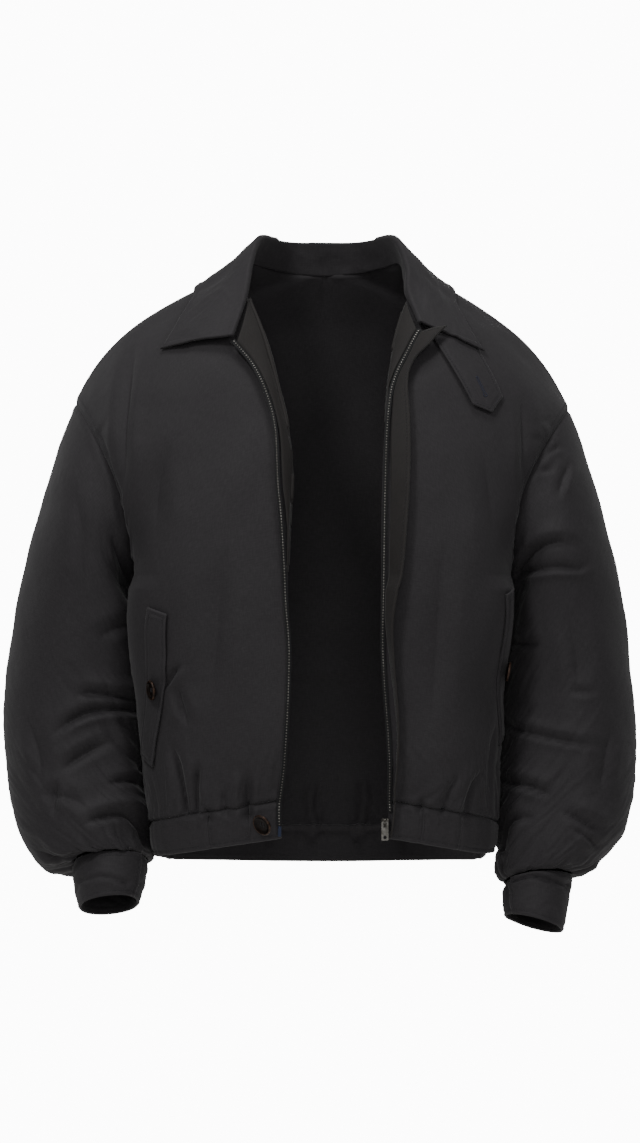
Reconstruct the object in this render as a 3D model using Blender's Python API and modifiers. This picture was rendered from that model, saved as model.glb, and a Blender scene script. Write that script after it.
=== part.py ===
"""Worn blouson jacket: cloth walls cut from one lofted shell, with its collar, cuffs, band and trims.

Axes: +X is the wearer's left, -Y the front, +Z up. The origin is where the shoulders carry it, level with
the neck. Tables are in millimetres; `out` is the distance from the centre line, the same on both sides.
"""

from collections import namedtuple
from math import cos, pi, radians, sin

import bmesh
import bpy
from mathutils import Matrix, Vector

MM = 0.001
CLOTH = 2.0 * MM            # one wall of shell cloth with its thin fill
DOUBLED = 2.6 * MM          # collar, band, cuffs and flaps, which are sewn double
SEAM_INSET = 0.165 * MM     # how far each piece stops short of a seam
WELD = 0.02 * MM            # points of two grids nearer than this are one
LAID_GAP = 1.2 * MM         # room under what lies on a panel, which takes up the panel's facets
PATCH_LIFT = (LAID_GAP + DOUBLED) / MM
BAND_HEIGHT = 38.0
BAND_FILL, BAND_DRAW_IN = 2.5, 3.0      # how far the band fills out, and how far its lower edge draws in
RIGHT, LEFT = -1, 1         # the wearer's sides, as the sign of X

# Plain colours of the solids, in linear light.
BLACK_CLOTH = (0.024, 0.022, 0.023)
WARM_CLOTH = (0.030, 0.026, 0.023)
TAPE_BLACK = (0.012, 0.013, 0.016)
HORN = (0.020, 0.011, 0.008)
NICKEL = (0.55, 0.54, 0.52)
BLUE_PLASTIC = (0.05, 0.07, 0.13)

# ---------------------------------------------------------------- tables

# The front edge, from the hem seam to the neck corner.
Edge = namedtuple("Edge", "station out y z")
FRONT_EDGE = {
    RIGHT: [
        Edge(0.00, 45, -140, -564),
        Edge(0.08, 40, -150, -521),
        Edge(0.30, 35, -153, -412),
        Edge(0.45, 38, -152, -345),
        Edge(0.60, 36, -144, -251),
        Edge(0.67, 37, -133, -200),
        Edge(0.76, 50, -110, -138),
        Edge(0.84, 64, -80, -86),
        Edge(0.92, 82, -45, -39),
    ],
    LEFT: [
        Edge(0.00, 64, -140, -564),
        Edge(0.08, 64, -150, -521),
        Edge(0.30, 57, -153, -412),
        Edge(0.45, 57, -152, -345),
        Edge(0.60, 58, -144, -251),
        Edge(0.67, 60, -133, -200),
        Edge(0.76, 65, -110, -138),
        Edge(0.84, 74, -80, -86),
        Edge(0.92, 86, -45, -44),
    ],
}
NECK_CORNER = 0.92          # station where the front edge runs into the neckline

# The centre back line, from the hem seam to the back neck.
CENTRE_BACK = [
    Edge(0.00, 0, 117, -606),
    Edge(0.08, 0, 130, -566),
    Edge(0.30, 0, 140, -460),
    Edge(0.45, 0, 142, -378),
    Edge(0.60, 0, 138, -294),
    Edge(0.70, 0, 131, -218),
    Edge(0.80, 0, 120, -138),
    Edge(0.88, 0, 104, -66),
    Edge(0.93, 0, 74, -10),
]
BACK_NECK = 0.93            # station of the centre back line's top end

# The neckline of one side, from the centre back by the shoulder seam to the front corner.
NECKLINE = [
    Edge(0.00, 0, 74, -10),
    Edge(0.22, 44, 62, -7),
    Edge(0.45, 80, 8, -2),
    Edge(0.70, 83, -19, -17),
    Edge(1.00, 82, -45, -39),
]
NECK_SHOULDER = 0.45        # where the neckline meets the shoulder seam

# The side seam, from the hem seam to the underarm.
SIDE_SEAM = [
    Edge(0.00, 171, 3, -598),
    Edge(0.08, 180, 5, -562),
    Edge(0.30, 184, 8, -470),
    Edge(0.45, 185, 8, -402),
    Edge(0.60, 187, 4, -336),
]
UNDERARM = 0.60             # station of the side seam's top end

# Cross-sections of half a front or back. near bends the line where it leaves the edge, far where it
# comes to the side: offsets from those ends.
Bend = namedtuple("Bend", "station near_out near_y near_z far_out far_y far_z")
FRONT_BENDS = {
    RIGHT: [
        Bend(0.00, 88, -8, -14, 34, -108, 12),
        Bend(0.08, 92, -12, -12, 34, -118, 10),
        Bend(0.30, 104, -12, -16, 38, -116, 14),
        Bend(0.45, 135, -10, -20, 38, -116, 12),
        Bend(0.60, 142, -9, -24, 14, -122, 4),
        Bend(0.70, 100, -14, -30, 18, -68, 20),
        Bend(0.80, 68, -24, -26, 2, -46, 32),
        Bend(0.87, 54, -30, -22, -24, -36, 40),
        Bend(0.92, 50, -28, -26, -36, -32, 48),
        Bend(0.96, 58, -14, -28, -38, -18, 66),
        Bend(1.00, 70, -2, -38, -32, 0, 88),
    ],
    LEFT: [
        Bend(0.00, 88, -8, -14, 26, -104, 12),
        Bend(0.08, 92, -12, -12, 17, -112, 10),
        Bend(0.30, 104, -12, -16, 12, -114, 14),
        Bend(0.45, 135, -10, -20, 13, -114, 12),
        Bend(0.60, 142, -9, -24, 0, -112, 0),
        Bend(0.70, 100, -14, -30, 14, -66, 20),
        Bend(0.80, 68, -24, -26, 2, -46, 32),
        Bend(0.87, 54, -30, -22, -24, -36, 40),
        Bend(0.92, 50, -28, -26, -36, -32, 48),
        Bend(0.96, 58, -14, -28, -38, -18, 66),
        Bend(1.00, 70, -2, -38, -32, 0, 88),
    ],
}
BACK_BENDS = [
    Bend(0.00, 85, 0, 0, 18, 88, -2),
    Bend(0.08, 90, 2, 0, 18, 98, 0),
    Bend(0.30, 100, 0, 0, 18, 100, 0),
    Bend(0.45, 110, 0, 0, 18, 100, 2),
    Bend(0.60, 120, 0, 0, 6, 96, 4),
    Bend(0.70, 96, 0, 0, 12, 60, 18),
    Bend(0.80, 80, 0, 0, 0, 42, 30),
    Bend(0.88, 74, -2, -4, -30, 34, 40),
    Bend(0.95, 62, 2, -18, -40, 26, 62),
    Bend(1.00, 70, -2, -38, -32, 0, 88),
]

# Sleeve sections: the outer and inner ends, how far the section stands before and behind its middle,
# and how much its front is lifted by the forward lean of the arm. The first row is the armhole.
Ring = namedtuple("Ring", "station top_out top_z low_out low_z middle_y front back lift hollow")
SLEEVE = {
    RIGHT: [
        Ring(0.00, 264, -150, 197, -336, 0, 86, 88, 0, 15),
        Ring(0.10, 283, -200, 209, -350, 1, 92, 90, 2, 3),
        Ring(0.22, 304, -272, 204, -382, 3, 93, 88, 4, 0),
        Ring(0.36, 325, -355, 199, -424, 7, 90, 86, 6, 0),
        Ring(0.50, 339, -438, 196, -472, 9, 88, 83, 8, 0),
        Ring(0.64, 342, -508, 193, -524, 4, 85, 82, 11, 0),
        Ring(0.77, 334, -566, 189, -572, -6, 80, 80, 14, 0),
        Ring(0.88, 319, -612, 184, -608, -20, 72, 76, 17, 0),
        Ring(0.95, 298, -640, 180, -626, -32, 60, 66, 18, 0),
        Ring(1.00, 264, -634, 183, -630, -43, 42, 43, 15, 0),
    ],
    LEFT: [
        Ring(0.00, 258, -157, 193, -339, 0, 86, 88, 0, 20),
        Ring(0.10, 274, -203, 207, -352, 1, 92, 90, 2, 4),
        Ring(0.22, 294, -272, 205, -385, 3, 93, 88, 4, 0),
        Ring(0.36, 314, -352, 200, -427, 7, 90, 86, 6, 0),
        Ring(0.50, 326, -434, 196, -476, 9, 88, 83, 8, 0),
        Ring(0.64, 330, -506, 192, -530, 4, 85, 82, 10, 0),
        Ring(0.77, 325, -568, 187, -580, -6, 80, 80, 12, 0),
        Ring(0.88, 311, -616, 181, -622, -20, 72, 76, 14, 0),
        Ring(0.95, 291, -646, 178, -644, -32, 60, 66, 14, 0),
        Ring(1.00, 259, -648, 187, -654, -43, 40, 42, 12, 0),
    ],
}
CUFF = {
    RIGHT: [
        Ring(0.0, 264, -634, 183, -630, -43, 42, 43, 15, 0),
        Ring(1.0, 257, -680, 192, -673, -62, 36, 37, 13, 0),
    ],
    LEFT: [
        Ring(0.0, 259, -648, 187, -654, -43, 40, 42, 12, 0),
        Ring(1.0, 249, -704, 189, -688, -60, 35, 36, 9, 0),
    ],
}

CUFF_START, CUFF_SWEEP, CUFF_STEPS = radians(146), radians(384), 22
CUFF_DROPS = (0.008, 0.5, 1.0)          # rows of a cuff, the first just below the sleeve
UNDERLAP = 4.0              # how far the under end of a cuff lies inside the upper one
LAP_START, LAP_RUN = 0.70, 0.20         # where along the cuff it starts to draw in, and over what share

# The collar, from the centre back to the front end: where a section starts on the panel, how far off it,
# the stand up to its roll, and where the leaf's edge lies on the panel.
Fold = namedtuple("Fold", "forward across up clear stand_out stand_y stand_z edge_across edge_up edge_lift")
COLLAR = {
    RIGHT: [
        Fold(False, 0.00, 0.930, 0.6, 0, -8, 36, 0.00, 0.910, 9),
        Fold(False, 0.00, 0.957, 0.6, -3, -4, 34, 0.13, 0.925, 8),
        Fold(False, 0.00, 0.980, 0.6, -8, 0, 31, 0.20, 0.955, 7),
        Fold(True, 0.00, 1.000, 0.6, -10, -1, 27, 0.235, 1.000, 6),
        Fold(True, 0.00, 0.960, 0.8, -4, -3, 15, 0.29, 0.967, 6),
        Fold(True, 0.00, 0.928, 2.0, 0, -4, 8, 0.37, 0.941, 6),
        Fold(True, 0.08, 0.893, 6.5, 0, -6, 6, 0.43, 0.925, 6),
        Fold(True, 0.164, 0.861, 8.5, 0, -11, 3, 0.495, 0.912, 6),
    ],
    LEFT: [
        Fold(False, 0.00, 0.930, 0.6, 0, -8, 36, 0.00, 0.910, 9),
        Fold(False, 0.00, 0.957, 0.6, -3, -4, 34, 0.13, 0.925, 8),
        Fold(False, 0.00, 0.980, 0.6, -8, 0, 31, 0.20, 0.955, 7),
        Fold(True, 0.00, 1.000, 0.6, -5, -1, 27, 0.24, 1.000, 6),
        Fold(True, 0.00, 0.960, 0.8, 2, -3, 15, 0.29, 0.960, 6),
        Fold(True, 0.00, 0.928, 2.0, 2, -4, 8, 0.357, 0.938, 6),
        Fold(True, 0.07, 0.902, 5.5, 0, -6, 6, 0.41, 0.922, 6),
        Fold(True, 0.122, 0.880, 6.0, 0, -11, 5, 0.469, 0.909, 6),
    ],
}
ROLL_WIDTH = 8.0            # across the collar's roll, from the stand to the leaf
STAND_MIDDLE = 0.55         # where the stand has its row of points
LEAF_SHARES = (0.35, 0.60, 0.82, 1.0)   # where the leaf has its rows, from its seam to its edge
LEAF_EASE = 1.3             # how quickly the leaf comes down from the roll

# Lines along the opening, read by their height on the panel: the zip's chain, and the fly's free edge.
Line = namedtuple("Line", "station across lift")
CHAIN = {
    RIGHT: [
        Line(-0.10, 0.008, 2.4),
        Line(0.00, 0.008, 2.4),
        Line(0.45, 0.008, 2.8),
        Line(0.57, 0.021, 7.0),
        Line(0.65, 0.037, 9.0),
        Line(0.735, 0.042, 9.0),
        Line(0.80, 0.084, 9.0),
        Line(0.855, 0.164, 9.0),
    ],
    LEFT: [
        Line(-0.10, 0.008, 2.4),
        Line(0.00, 0.008, 2.4),
        Line(0.64, 0.008, 3.2),
        Line(0.745, 0.014, 5.5),
        Line(0.783, 0.036, 7.0),
        Line(0.824, 0.081, 8.5),
        Line(0.869, 0.127, 9.0),
    ],
}
FLY_EDGE = [
    Line(-0.10, 0.022, 6.0),
    Line(0.10, 0.027, 10.0),
    Line(0.23, 0.034, 14.0),
    Line(0.39, 0.045, 15.0),
    Line(0.50, 0.058, 15.0),
    Line(0.60, 0.067, 13.0),
    Line(0.72, 0.092, 11.0),
    Line(0.783, 0.088, 12.0),
    Line(0.813, 0.115, 12.0),
    Line(0.848, 0.186, 14.0),
    Line(0.898, 0.259, 16.0),
]
ROLL_LIFT = 2.8             # how far the turned-back cloth lies before the panel at the roll
FACING_RIGHT_ENDS = (0.60, 0.912, 0.848)    # its foot, then its head at the roll and at the chain
FACING_LEFT_ENDS = (0.765, 0.912, 0.862)
FLY_ENDS = (-0.092, 0.862, 0.892)
FACING_MIN = 0.004          # least width of a turned-back strip, as a share of the front's width
TAPE_WIDTH = 5.0
TAPE_PROUD = 0.5            # how far the ridge of the chain stands up
TAPE_FLAT = 0.4             # share of the tape's half width that the ridge takes
TAPE_THICKNESS = 1.4 * MM
TAPE_STEPS = 20
BESIDE_TAPE = 0.0140        # from a tape's middle to the cloth beside it, as a share of the front's width
TAPE_ENDS = {RIGHT: (-0.062, 0.852), LEFT: (-0.026, 0.864)}

# Flat pieces laid on a front: (across, up) of their corners, then how the long edges bow towards the
# opening.
Patch = namedtuple("Patch", "head_fore head_aft foot_fore foot_aft bow")
FLAP = {
    RIGHT: Patch((0.396, 0.447), (0.492, 0.475), (0.617, 0.117), (0.728, 0.155), 0.014),
    LEFT: Patch((0.514, 0.509), (0.610, 0.537), (0.735, 0.179), (0.846, 0.217), 0.014),
}
TAB = Patch((0.085, 0.897), (0.385, 0.927), (0.430, 0.813), (0.618, 0.866), 0.0)
TAB_POINT = (0.556, 0.829)

# Seams of the hem band, as places across each front.
BAND_SEAMS = {RIGHT: (0.128, 0.308), LEFT: (0.142, 0.350)}

# Buttons: where they lie on a front, and their size.
Button = namedtuple("Button", "name side across up diameter below")
BUTTONS = [
    Button("waist_button", RIGHT, 0.068, -0.050, 23.0, -0.4),
    Button("pocket_button_right", RIGHT, 0.535, 0.288, 21.0, 3.8),
    Button("pocket_button_left", LEFT, 0.653, 0.350, 21.0, 3.8),
]
BUTTON_THICKNESS = 4.2
BUTTON_CLEAR = 0.5          # from the cloth to a button's back

# The zip's hard pieces, on the wearer's left at the foot of the opening.
SLIDER = Vector((8.0, 4.6, 10.5)) * MM
BOX = Vector((6.4, 4.0, 7.0)) * MM
PIN = Vector((3.4, 2.2, 11.0)) * MM
BAIL_WIDTH, BAIL_BAR, BAIL_REACH, BAIL_SPAN = 1.8 * MM, 1.1 * MM, 3.4 * MM, 6.4 * MM
BAIL_RISE, BAIL_ROOT = 1.6 * MM, 0.6 * MM       # its middle above the slider's, and its hold in the slider
TAB_BAR, TAB_WIDTH, TAB_LENGTH, TAB_PLATE = 1.2 * MM, 7.2 * MM, 19.5 * MM, 1.2 * MM
TAB_AXIS_OUT = (BAIL_REACH - BAIL_BAR) / 2      # from the slider's face to the tab's bar
TAB_WINDOW = Vector((3.6, 5.0)) * MM
TAB_HOLE, TAB_HOLE_RISE = 1.9 * MM, 3.4 * MM    # the hole's radius, and its middle above the tab's foot
TAB_CORNER, WINDOW_CORNER = 1.2 * MM, 0.4 * MM
SLIDER_PLACE = (-0.057, 3.2)    # its height on the band, and its middle's distance before the band
SLIDER_INWARD = 2.4 * MM        # how far it stands inside the edge of the band
BOX_DROP, BOX_BACK = 9.2 * MM, 0.9 * MM
PIN_PLACE = (0.008, -0.0778, 1.9)       # (across, up, lift) of the insert pin on the right front

# Where the shell has its rows and columns of faces. A front and its half of the back share theirs.
COLUMNS = {RIGHT: [0.0, 0.128, 0.308, 0.44, 0.58, 0.72, 0.86, 1.0],
           LEFT: [0.0, 0.142, 0.350, 0.47, 0.60, 0.73, 0.86, 1.0]}
BODY_STATIONS = [0.0, 0.03, 0.08, 0.17, 0.26, 0.35, 0.44, 0.52, 0.60]
ARM_STATIONS = [0.65, 0.70, 0.75, 0.80, 0.84, 0.88, 0.92, 0.93, 0.96, 1.0]
SLEEVE_STATIONS = [0.0, 0.05, 0.12, 0.20, 0.28, 0.36, 0.44, 0.52, 0.60, 0.68, 0.76, 0.83, 0.89, 0.94, 0.97,
                   1.0]
BAND_DROPS = [0.0, 0.5, 1.0]

# ---------------------------------------------------------------- curves and sections


def read(table, station):
    """A table's row at any station, on a smooth curve through its rows."""
    last = len(table) - 2
    row = next((i for i in range(last + 1) if station <= table[i + 1].station), last)
    before, start = table[max(row - 1, 0)], table[row]
    end, after = table[row + 1], table[min(row + 2, last + 1)]
    span = end.station - start.station
    t = (station - start.station) / span
    values = []
    for a, b, c, d in zip(before[1:], start[1:], end[1:], after[1:]):
        slope_start = (c - a) / (end.station - before.station) * span
        slope_end = (d - b) / (after.station - start.station) * span
        values.append(
            b * (1 + 2 * t) * (1 - t) ** 2
            + slope_start * t * (1 - t) ** 2
            + c * t * t * (3 - 2 * t)
            - slope_end * t * t * (1 - t)
        )
    return type(start)(station, *values)


def place(side, out, y, z):
    return Vector((side * out, y, z)) * MM


def neckline(side, station):
    """A point on the neckline, with the front corner drawn to this side's own edge."""
    row = read(NECKLINE, station)
    corner, plain = FRONT_EDGE[side][-1], NECKLINE[-1]
    pull = max(0.0, (station - NECK_SHOULDER) / (1 - NECK_SHOULDER))
    return (row.out + pull * (corner.out - plain.out), row.y, row.z + pull * (corner.z - plain.z))


def ring_point(row, angle):
    """A point on a sleeve section: angle 0 is its outer end, pi/2 its front, pi its inner end."""
    forward = sin(angle)
    reach = row.front if forward > 0 else row.back
    out = (row.top_out + row.low_out) / 2 + cos(angle) * (row.top_out - row.low_out) / 2
    z = (row.top_z + row.low_z) / 2 + cos(angle) * (row.top_z - row.low_z) / 2
    return (out - row.hollow * forward * forward, row.middle_y - forward * reach, z + forward * row.lift)


def armhole_point(side, station, forward):
    """The armhole seen from a panel: from the underarm at its station to the shoulder at 1."""
    angle = pi * (1 - (station - UNDERARM) / (1 - UNDERARM))
    return ring_point(SLEEVE[side][0], angle if forward else -angle)


def inner_end(side, station, forward):
    if forward:
        if station <= NECK_CORNER:
            row = read(FRONT_EDGE[side], station)
            return (row.out, row.y, row.z)
        along = (1 - station) / (1 - NECK_CORNER)
        return neckline(side, NECK_SHOULDER + along * (1 - NECK_SHOULDER))
    if station <= BACK_NECK:
        row = read(CENTRE_BACK, station)
        return (row.out, row.y, row.z)
    along = (station - BACK_NECK) / (1 - BACK_NECK)
    return neckline(side, along * NECK_SHOULDER)


def outer_end(side, station, forward):
    if station >= UNDERARM:
        return armhole_point(side, station, forward)
    row = read(SIDE_SEAM, station)
    armhole, plain = SLEEVE[side][0], SIDE_SEAM[-1]
    pull = station / UNDERARM
    return (row.out + pull * (armhole.low_out - plain.out),
            row.y + pull * (armhole.middle_y - plain.y),
            row.z + pull * (armhole.low_z - plain.z))


def panel_point(side, forward, across, station):
    """A point on a front (forward) or back half: across 0 is its inner edge, 1 its side or armhole."""
    a = Vector(inner_end(side, station, forward))
    d = Vector(outer_end(side, station, forward))
    bend = read(FRONT_BENDS[side] if forward else BACK_BENDS, station)
    b = a + Vector((bend.near_out, bend.near_y, bend.near_z))
    c = d + Vector((bend.far_out, bend.far_y, bend.far_z))
    t = across
    point = a * (1 - t) ** 3 + b * 3 * t * (1 - t) ** 2 + c * 3 * t * t * (1 - t) + d * t ** 3
    return place(side, *point)


def band_point(side, forward, across, drop):
    """A point on the hem band: drop 0 is its seam, 1 its lower edge. It fills a little between them."""
    seam = panel_point(side, forward, across, 0.0)
    outward = Vector((seam.x, seam.y, 0)).normalized()
    fill = BAND_FILL * sin(pi * drop) - BAND_DRAW_IN * drop
    return seam + (outward * fill - Vector((0, 0, BAND_HEIGHT * drop))) * MM


def front_point(side, across, up):
    """A point on a front, or on the band below it where up is under 0 (its lower edge is -0.1)."""
    if up < 0:
        return band_point(side, True, across, -up / 0.1)
    return panel_point(side, True, across, up)


def slope(at, value):
    """The way a curve runs at a value, kept inside 0 to 1 at its upper end."""
    step = 1e-3
    ahead, behind = min(value + step, 1.0), value - step
    return at(ahead) - at(behind)


def laid(side, across, up, lift, forward=True):
    """A point on a panel, moved out by lift millimetres."""
    point = front_point if forward else (lambda s, a, u: panel_point(s, False, a, u))
    along = point(side, min(across + 1e-3, 1.0), up) - point(side, max(across - 1e-3, 0.0), up)
    rise = slope(lambda value: point(side, across, value), up)
    outward = along.cross(rise).normalized() * (side if forward else -side)
    return point(side, across, up) + outward * lift * MM


# ---------------------------------------------------------------- solids


def finish_mesh(name, bm, colour, roughness, metallic=0.0, smooth=True):
    """Make an object of a bmesh, in the jacket's collection, with a plain material of its own."""
    mesh = bpy.data.meshes.new(name)
    bm.to_mesh(mesh)
    bm.free()
    if smooth:
        mesh.shade_smooth()
        mesh.set_sharp_from_angle(angle=radians(50))
    material = bpy.data.materials.new(name)
    material.use_nodes = True
    shader = material.node_tree.nodes["Principled BSDF"]
    shader.inputs["Base Color"].default_value = (*colour, 1.0)
    shader.inputs["Roughness"].default_value = roughness
    shader.inputs["Metallic"].default_value = metallic
    mesh.materials.append(material)
    solid = bpy.data.objects.new(name, mesh)
    bpy.data.collections["worn_blouson_jacket"].objects.link(solid)
    return solid


def add_grid(bm, grid, flip, closed=False, tag=0):
    """Add a lofted grid of points as faces, with a piece number on each face."""
    layer = bm.faces.layers.int.get("piece") or bm.faces.layers.int.new("piece")
    rows = [[bm.verts.new(point) for point in row] for row in grid]
    width = len(grid[0])
    for lower, upper in zip(rows, rows[1:]):
        for i in range(width if closed else width - 1):
            j = (i + 1) % width
            corners = [lower[i], lower[j], upper[j], upper[i]]
            face = bm.faces.new(reversed(corners) if flip else corners)
            face[layer] = tag


def halves(corners):
    """A face's triangles: a four-sided one is split along its shorter diagonal."""
    if len(corners) == 3:
        return [corners]
    a, b, c, d = corners
    if (a.co - c.co).length <= (b.co - d.co).length:
        return [(a, b, c), (a, c, d)]
    return [(a, b, d), (b, c, d)]


def thicken(name, faces, thickness, colour, roughness, inset=0.0):
    """Cut faces from a sheet and give them a wall on their inner side, drawn in by inset at the edges.

    The wall follows the sheet's own normals, so neighbours cut from one sheet part along one plane.
    """
    bm = bmesh.new()
    chosen = set(faces)
    outer, inner = {}, {}
    for vert in {vert for face in faces for vert in face.verts}:
        own = [face for face in vert.link_faces if face in chosen]
        edges = [edge for edge in vert.link_edges if sum(face in chosen for face in edge.link_faces) == 1]
        shift = Vector()
        if edges and inset:
            for edge in edges:
                face = next(face for face in edge.link_faces if face in chosen)
                run = (edge.verts[1].co - edge.verts[0].co).normalized()
                into = face.calc_center_median() - edge.verts[0].co
                shift += (into - run * into.dot(run)).normalized()
            shift = shift.normalized() * inset * (1.5 if len(own) == 1 else 1.0)
        outer[vert] = bm.verts.new(vert.co + shift)
        inner[vert] = bm.verts.new(vert.co + shift - vert.normal * thickness)
    for face in faces:
        for corners in halves(list(face.verts)):
            bm.faces.new([outer[vert] for vert in corners])
            bm.faces.new([inner[vert] for vert in reversed(corners)])
        for loop in face.loops:
            if sum(other in chosen for other in loop.edge.link_faces) == 1:
                start, end = loop.vert, loop.link_loop_next.vert
                bm.faces.new([outer[end], outer[start], inner[start], inner[end]])
    bm.normal_update()
    return finish_mesh(name, bm, colour, roughness)


def slab(name, grid, flip, thickness, colour, roughness, closed=False):
    """A piece of cloth of its own, lofted through a grid of points."""
    bm = bmesh.new()
    add_grid(bm, grid, flip, closed)
    bm.normal_update()
    solid = thicken(name, list(bm.faces), thickness, colour, roughness)
    bm.free()
    return solid


# ---------------------------------------------------------------- the shell: fronts, back, sleeves, band


def shell_grids():
    """Every panel's grids, with the turn its faces need to point out."""
    stations = BODY_STATIONS + ARM_STATIONS
    turns = [pi * (1 - (station - UNDERARM) / (1 - UNDERARM)) for station in [UNDERARM] + ARM_STATIONS]
    angles = [turn for turn in reversed(turns)] + [-turn for turn in turns[1:-1]]
    grids = {"back": [], "band_back": []}
    for side, word in ((RIGHT, "right"), (LEFT, "left")):
        columns = COLUMNS[side]
        inner, outer = BAND_SEAMS[side]
        mirror = side == RIGHT

        def panel(forward, across):
            return [[panel_point(side, forward, a, up) for a in across] for up in stations]

        def band(forward, across):
            return [[band_point(side, forward, a, drop) for a in across] for drop in BAND_DROPS]

        grids["front_" + word] = [(panel(True, columns), mirror, False)]
        grids["back"].append((panel(False, columns), not mirror, False))
        grids["band_tab_" + word] = [(band(True, [a for a in columns if a <= inner]), not mirror, False)]
        between = [a for a in columns if inner <= a <= outer]
        grids["band_front_" + word] = [(band(True, between), not mirror, False)]
        grids["band_back"].append((band(True, [a for a in columns if a >= outer]), not mirror, False))
        grids["band_back"].append((band(False, columns), mirror, False))
        tube = [[place(side, *ring_point(read(SLEEVE[side], station), angle)) for angle in angles]
                for station in SLEEVE_STATIONS]
        grids["sleeve_" + word] = [(tube, mirror, True)]
    return grids


def make_shell():
    """Loft the whole shell, weld it, and cut it into its panels along the seams."""
    bm = bmesh.new()
    grids = shell_grids()
    for tag, name in enumerate(grids):
        for grid, flip, closed in grids[name]:
            add_grid(bm, grid, flip, closed, tag)
    bmesh.ops.remove_doubles(bm, verts=bm.verts, dist=WELD)
    bm.normal_update()
    layer = bm.faces.layers.int["piece"]
    for tag, name in enumerate(grids):
        faces = [face for face in bm.faces if face[layer] == tag]
        thicken(name, faces, CLOTH, BLACK_CLOTH, 0.6, inset=SEAM_INSET)
    bm.free()


# ---------------------------------------------------------------- collar, cuffs and the opening


def collar_section(side, row):
    """A section through the collar: up the stand, over the roll, and down the leaf to its edge."""
    seam = laid(side, row.across, row.up, row.clear, row.forward)
    stand = Vector((side * row.stand_out, row.stand_y, row.stand_z)) * MM
    roll = laid(side, row.across, row.up, 0.0, row.forward) + stand
    edge = laid(side, row.edge_across, row.edge_up, row.edge_lift, row.forward)
    over = (edge - roll).normalized() * ROLL_WIDTH * MM
    points = [seam, seam.lerp(roll, STAND_MIDDLE), roll, roll + over]
    for share in LEAF_SHARES:
        across = row.across + (row.edge_across - row.across) * share
        up = row.up + (row.edge_up - row.up) * share
        base = laid(side, across, up, 0.0, row.forward)
        away = laid(side, across, up, 1.0, row.forward) - base
        fade = (1 - share) ** LEAF_EASE
        points.append(base + stand * fade + away * row.edge_lift * (1 - fade))
    return points


def make_collar():
    """The collar in one piece, from its right front end round the back to its left."""
    right = [collar_section(RIGHT, row) for row in COLLAR[RIGHT]]
    left = [collar_section(LEFT, row) for row in COLLAR[LEFT][1:]]
    slab("collar", right[::-1] + left, False, DOUBLED, BLACK_CLOTH, 0.6)


def make_cuff(side, word):
    """A cuff: a strip that goes round once and laps under its own free end."""
    grid = []
    for drop in CUFF_DROPS:
        row = read(CUFF[side], drop)
        line = []
        for step in range(CUFF_STEPS + 1):
            share = step / CUFF_STEPS
            angle = CUFF_START - CUFF_SWEEP * share
            inward = UNDERLAP * min(1.0, max(0.0, share - LAP_START) / LAP_RUN)
            around = row._replace(top_out=row.top_out - inward, low_out=row.low_out + inward,
                                  front=row.front - inward, back=row.back - inward)
            line.append(place(side, *ring_point(around, angle)))
        grid.append(line)
    slab("cuff_" + word, grid, side == LEFT, DOUBLED, BLACK_CLOTH, 0.6)


def ribbon(side, inner, outer, steps, columns):
    """A grid between two lines on a front, each a function from 0 to 1 that gives (across, up, lift)."""
    grid = []
    for step in range(steps + 1):
        start, end = inner(step / steps), outer(step / steps)
        row = []
        for i in range(columns + 1):
            share = i / columns
            across, up, lift = (a + (b - a) * share for a, b in zip(start, end))
            row.append(laid(side, across, up, lift))
        grid.append(row)
    return grid


def chain_at(side, up):
    row = read(CHAIN[side], up)
    return row.across, up, row.lift


def make_facing(side, word, ends, steps):
    """The strip of a front's inner side that is turned back over it, from the roll to the zip."""
    foot, head_roll, head_chain = ends

    def roll(share):
        return 0.0, foot + (head_roll - foot) * share, ROLL_LIFT

    def chain(share):
        across, up, lift = chain_at(side, foot + (head_chain - foot) * share)
        return max(across - BESIDE_TAPE, FACING_MIN), up, lift

    slab("facing_" + word, ribbon(side, roll, chain, steps, 2), side == RIGHT, CLOTH, WARM_CLOTH, 0.6)


def make_placket():
    """The fly that covers the closed zip. Worn open, it is turned back and shows its under side."""
    foot, head_chain, head_edge = FLY_ENDS

    def chain(share):
        across, up, lift = chain_at(LEFT, foot + (head_chain - foot) * share)
        return across + BESIDE_TAPE, up, lift

    def edge(share):
        up = foot + (head_edge - foot) * share
        row = read(FLY_EDGE, up)
        return row.across, up, row.lift

    slab("placket", ribbon(LEFT, chain, edge, 20, 2), False, CLOTH, WARM_CLOTH, 0.6)


def make_zip_tape(side, word):
    """One zip tape with the ridge of its chain along the middle."""
    foot, head = TAPE_ENDS[side]
    grid = []
    for step in range(TAPE_STEPS + 1):
        across, up, lift = chain_at(side, foot + (head - foot) * step / TAPE_STEPS)
        middle = laid(side, across, up, lift)
        along = (laid(side, across + 0.02, up, lift) - middle).normalized() * TAPE_WIDTH / 2 * MM
        proud = laid(side, across, up, lift + TAPE_PROUD) - middle
        grid.append([middle - along, middle - along * TAPE_FLAT + proud,
                     middle + along * TAPE_FLAT + proud, middle + along])
    slab("zip_tape_" + word, grid, side == RIGHT, TAPE_THICKNESS, TAPE_BLACK, 0.7)


# ---------------------------------------------------------------- flaps and tab


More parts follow.
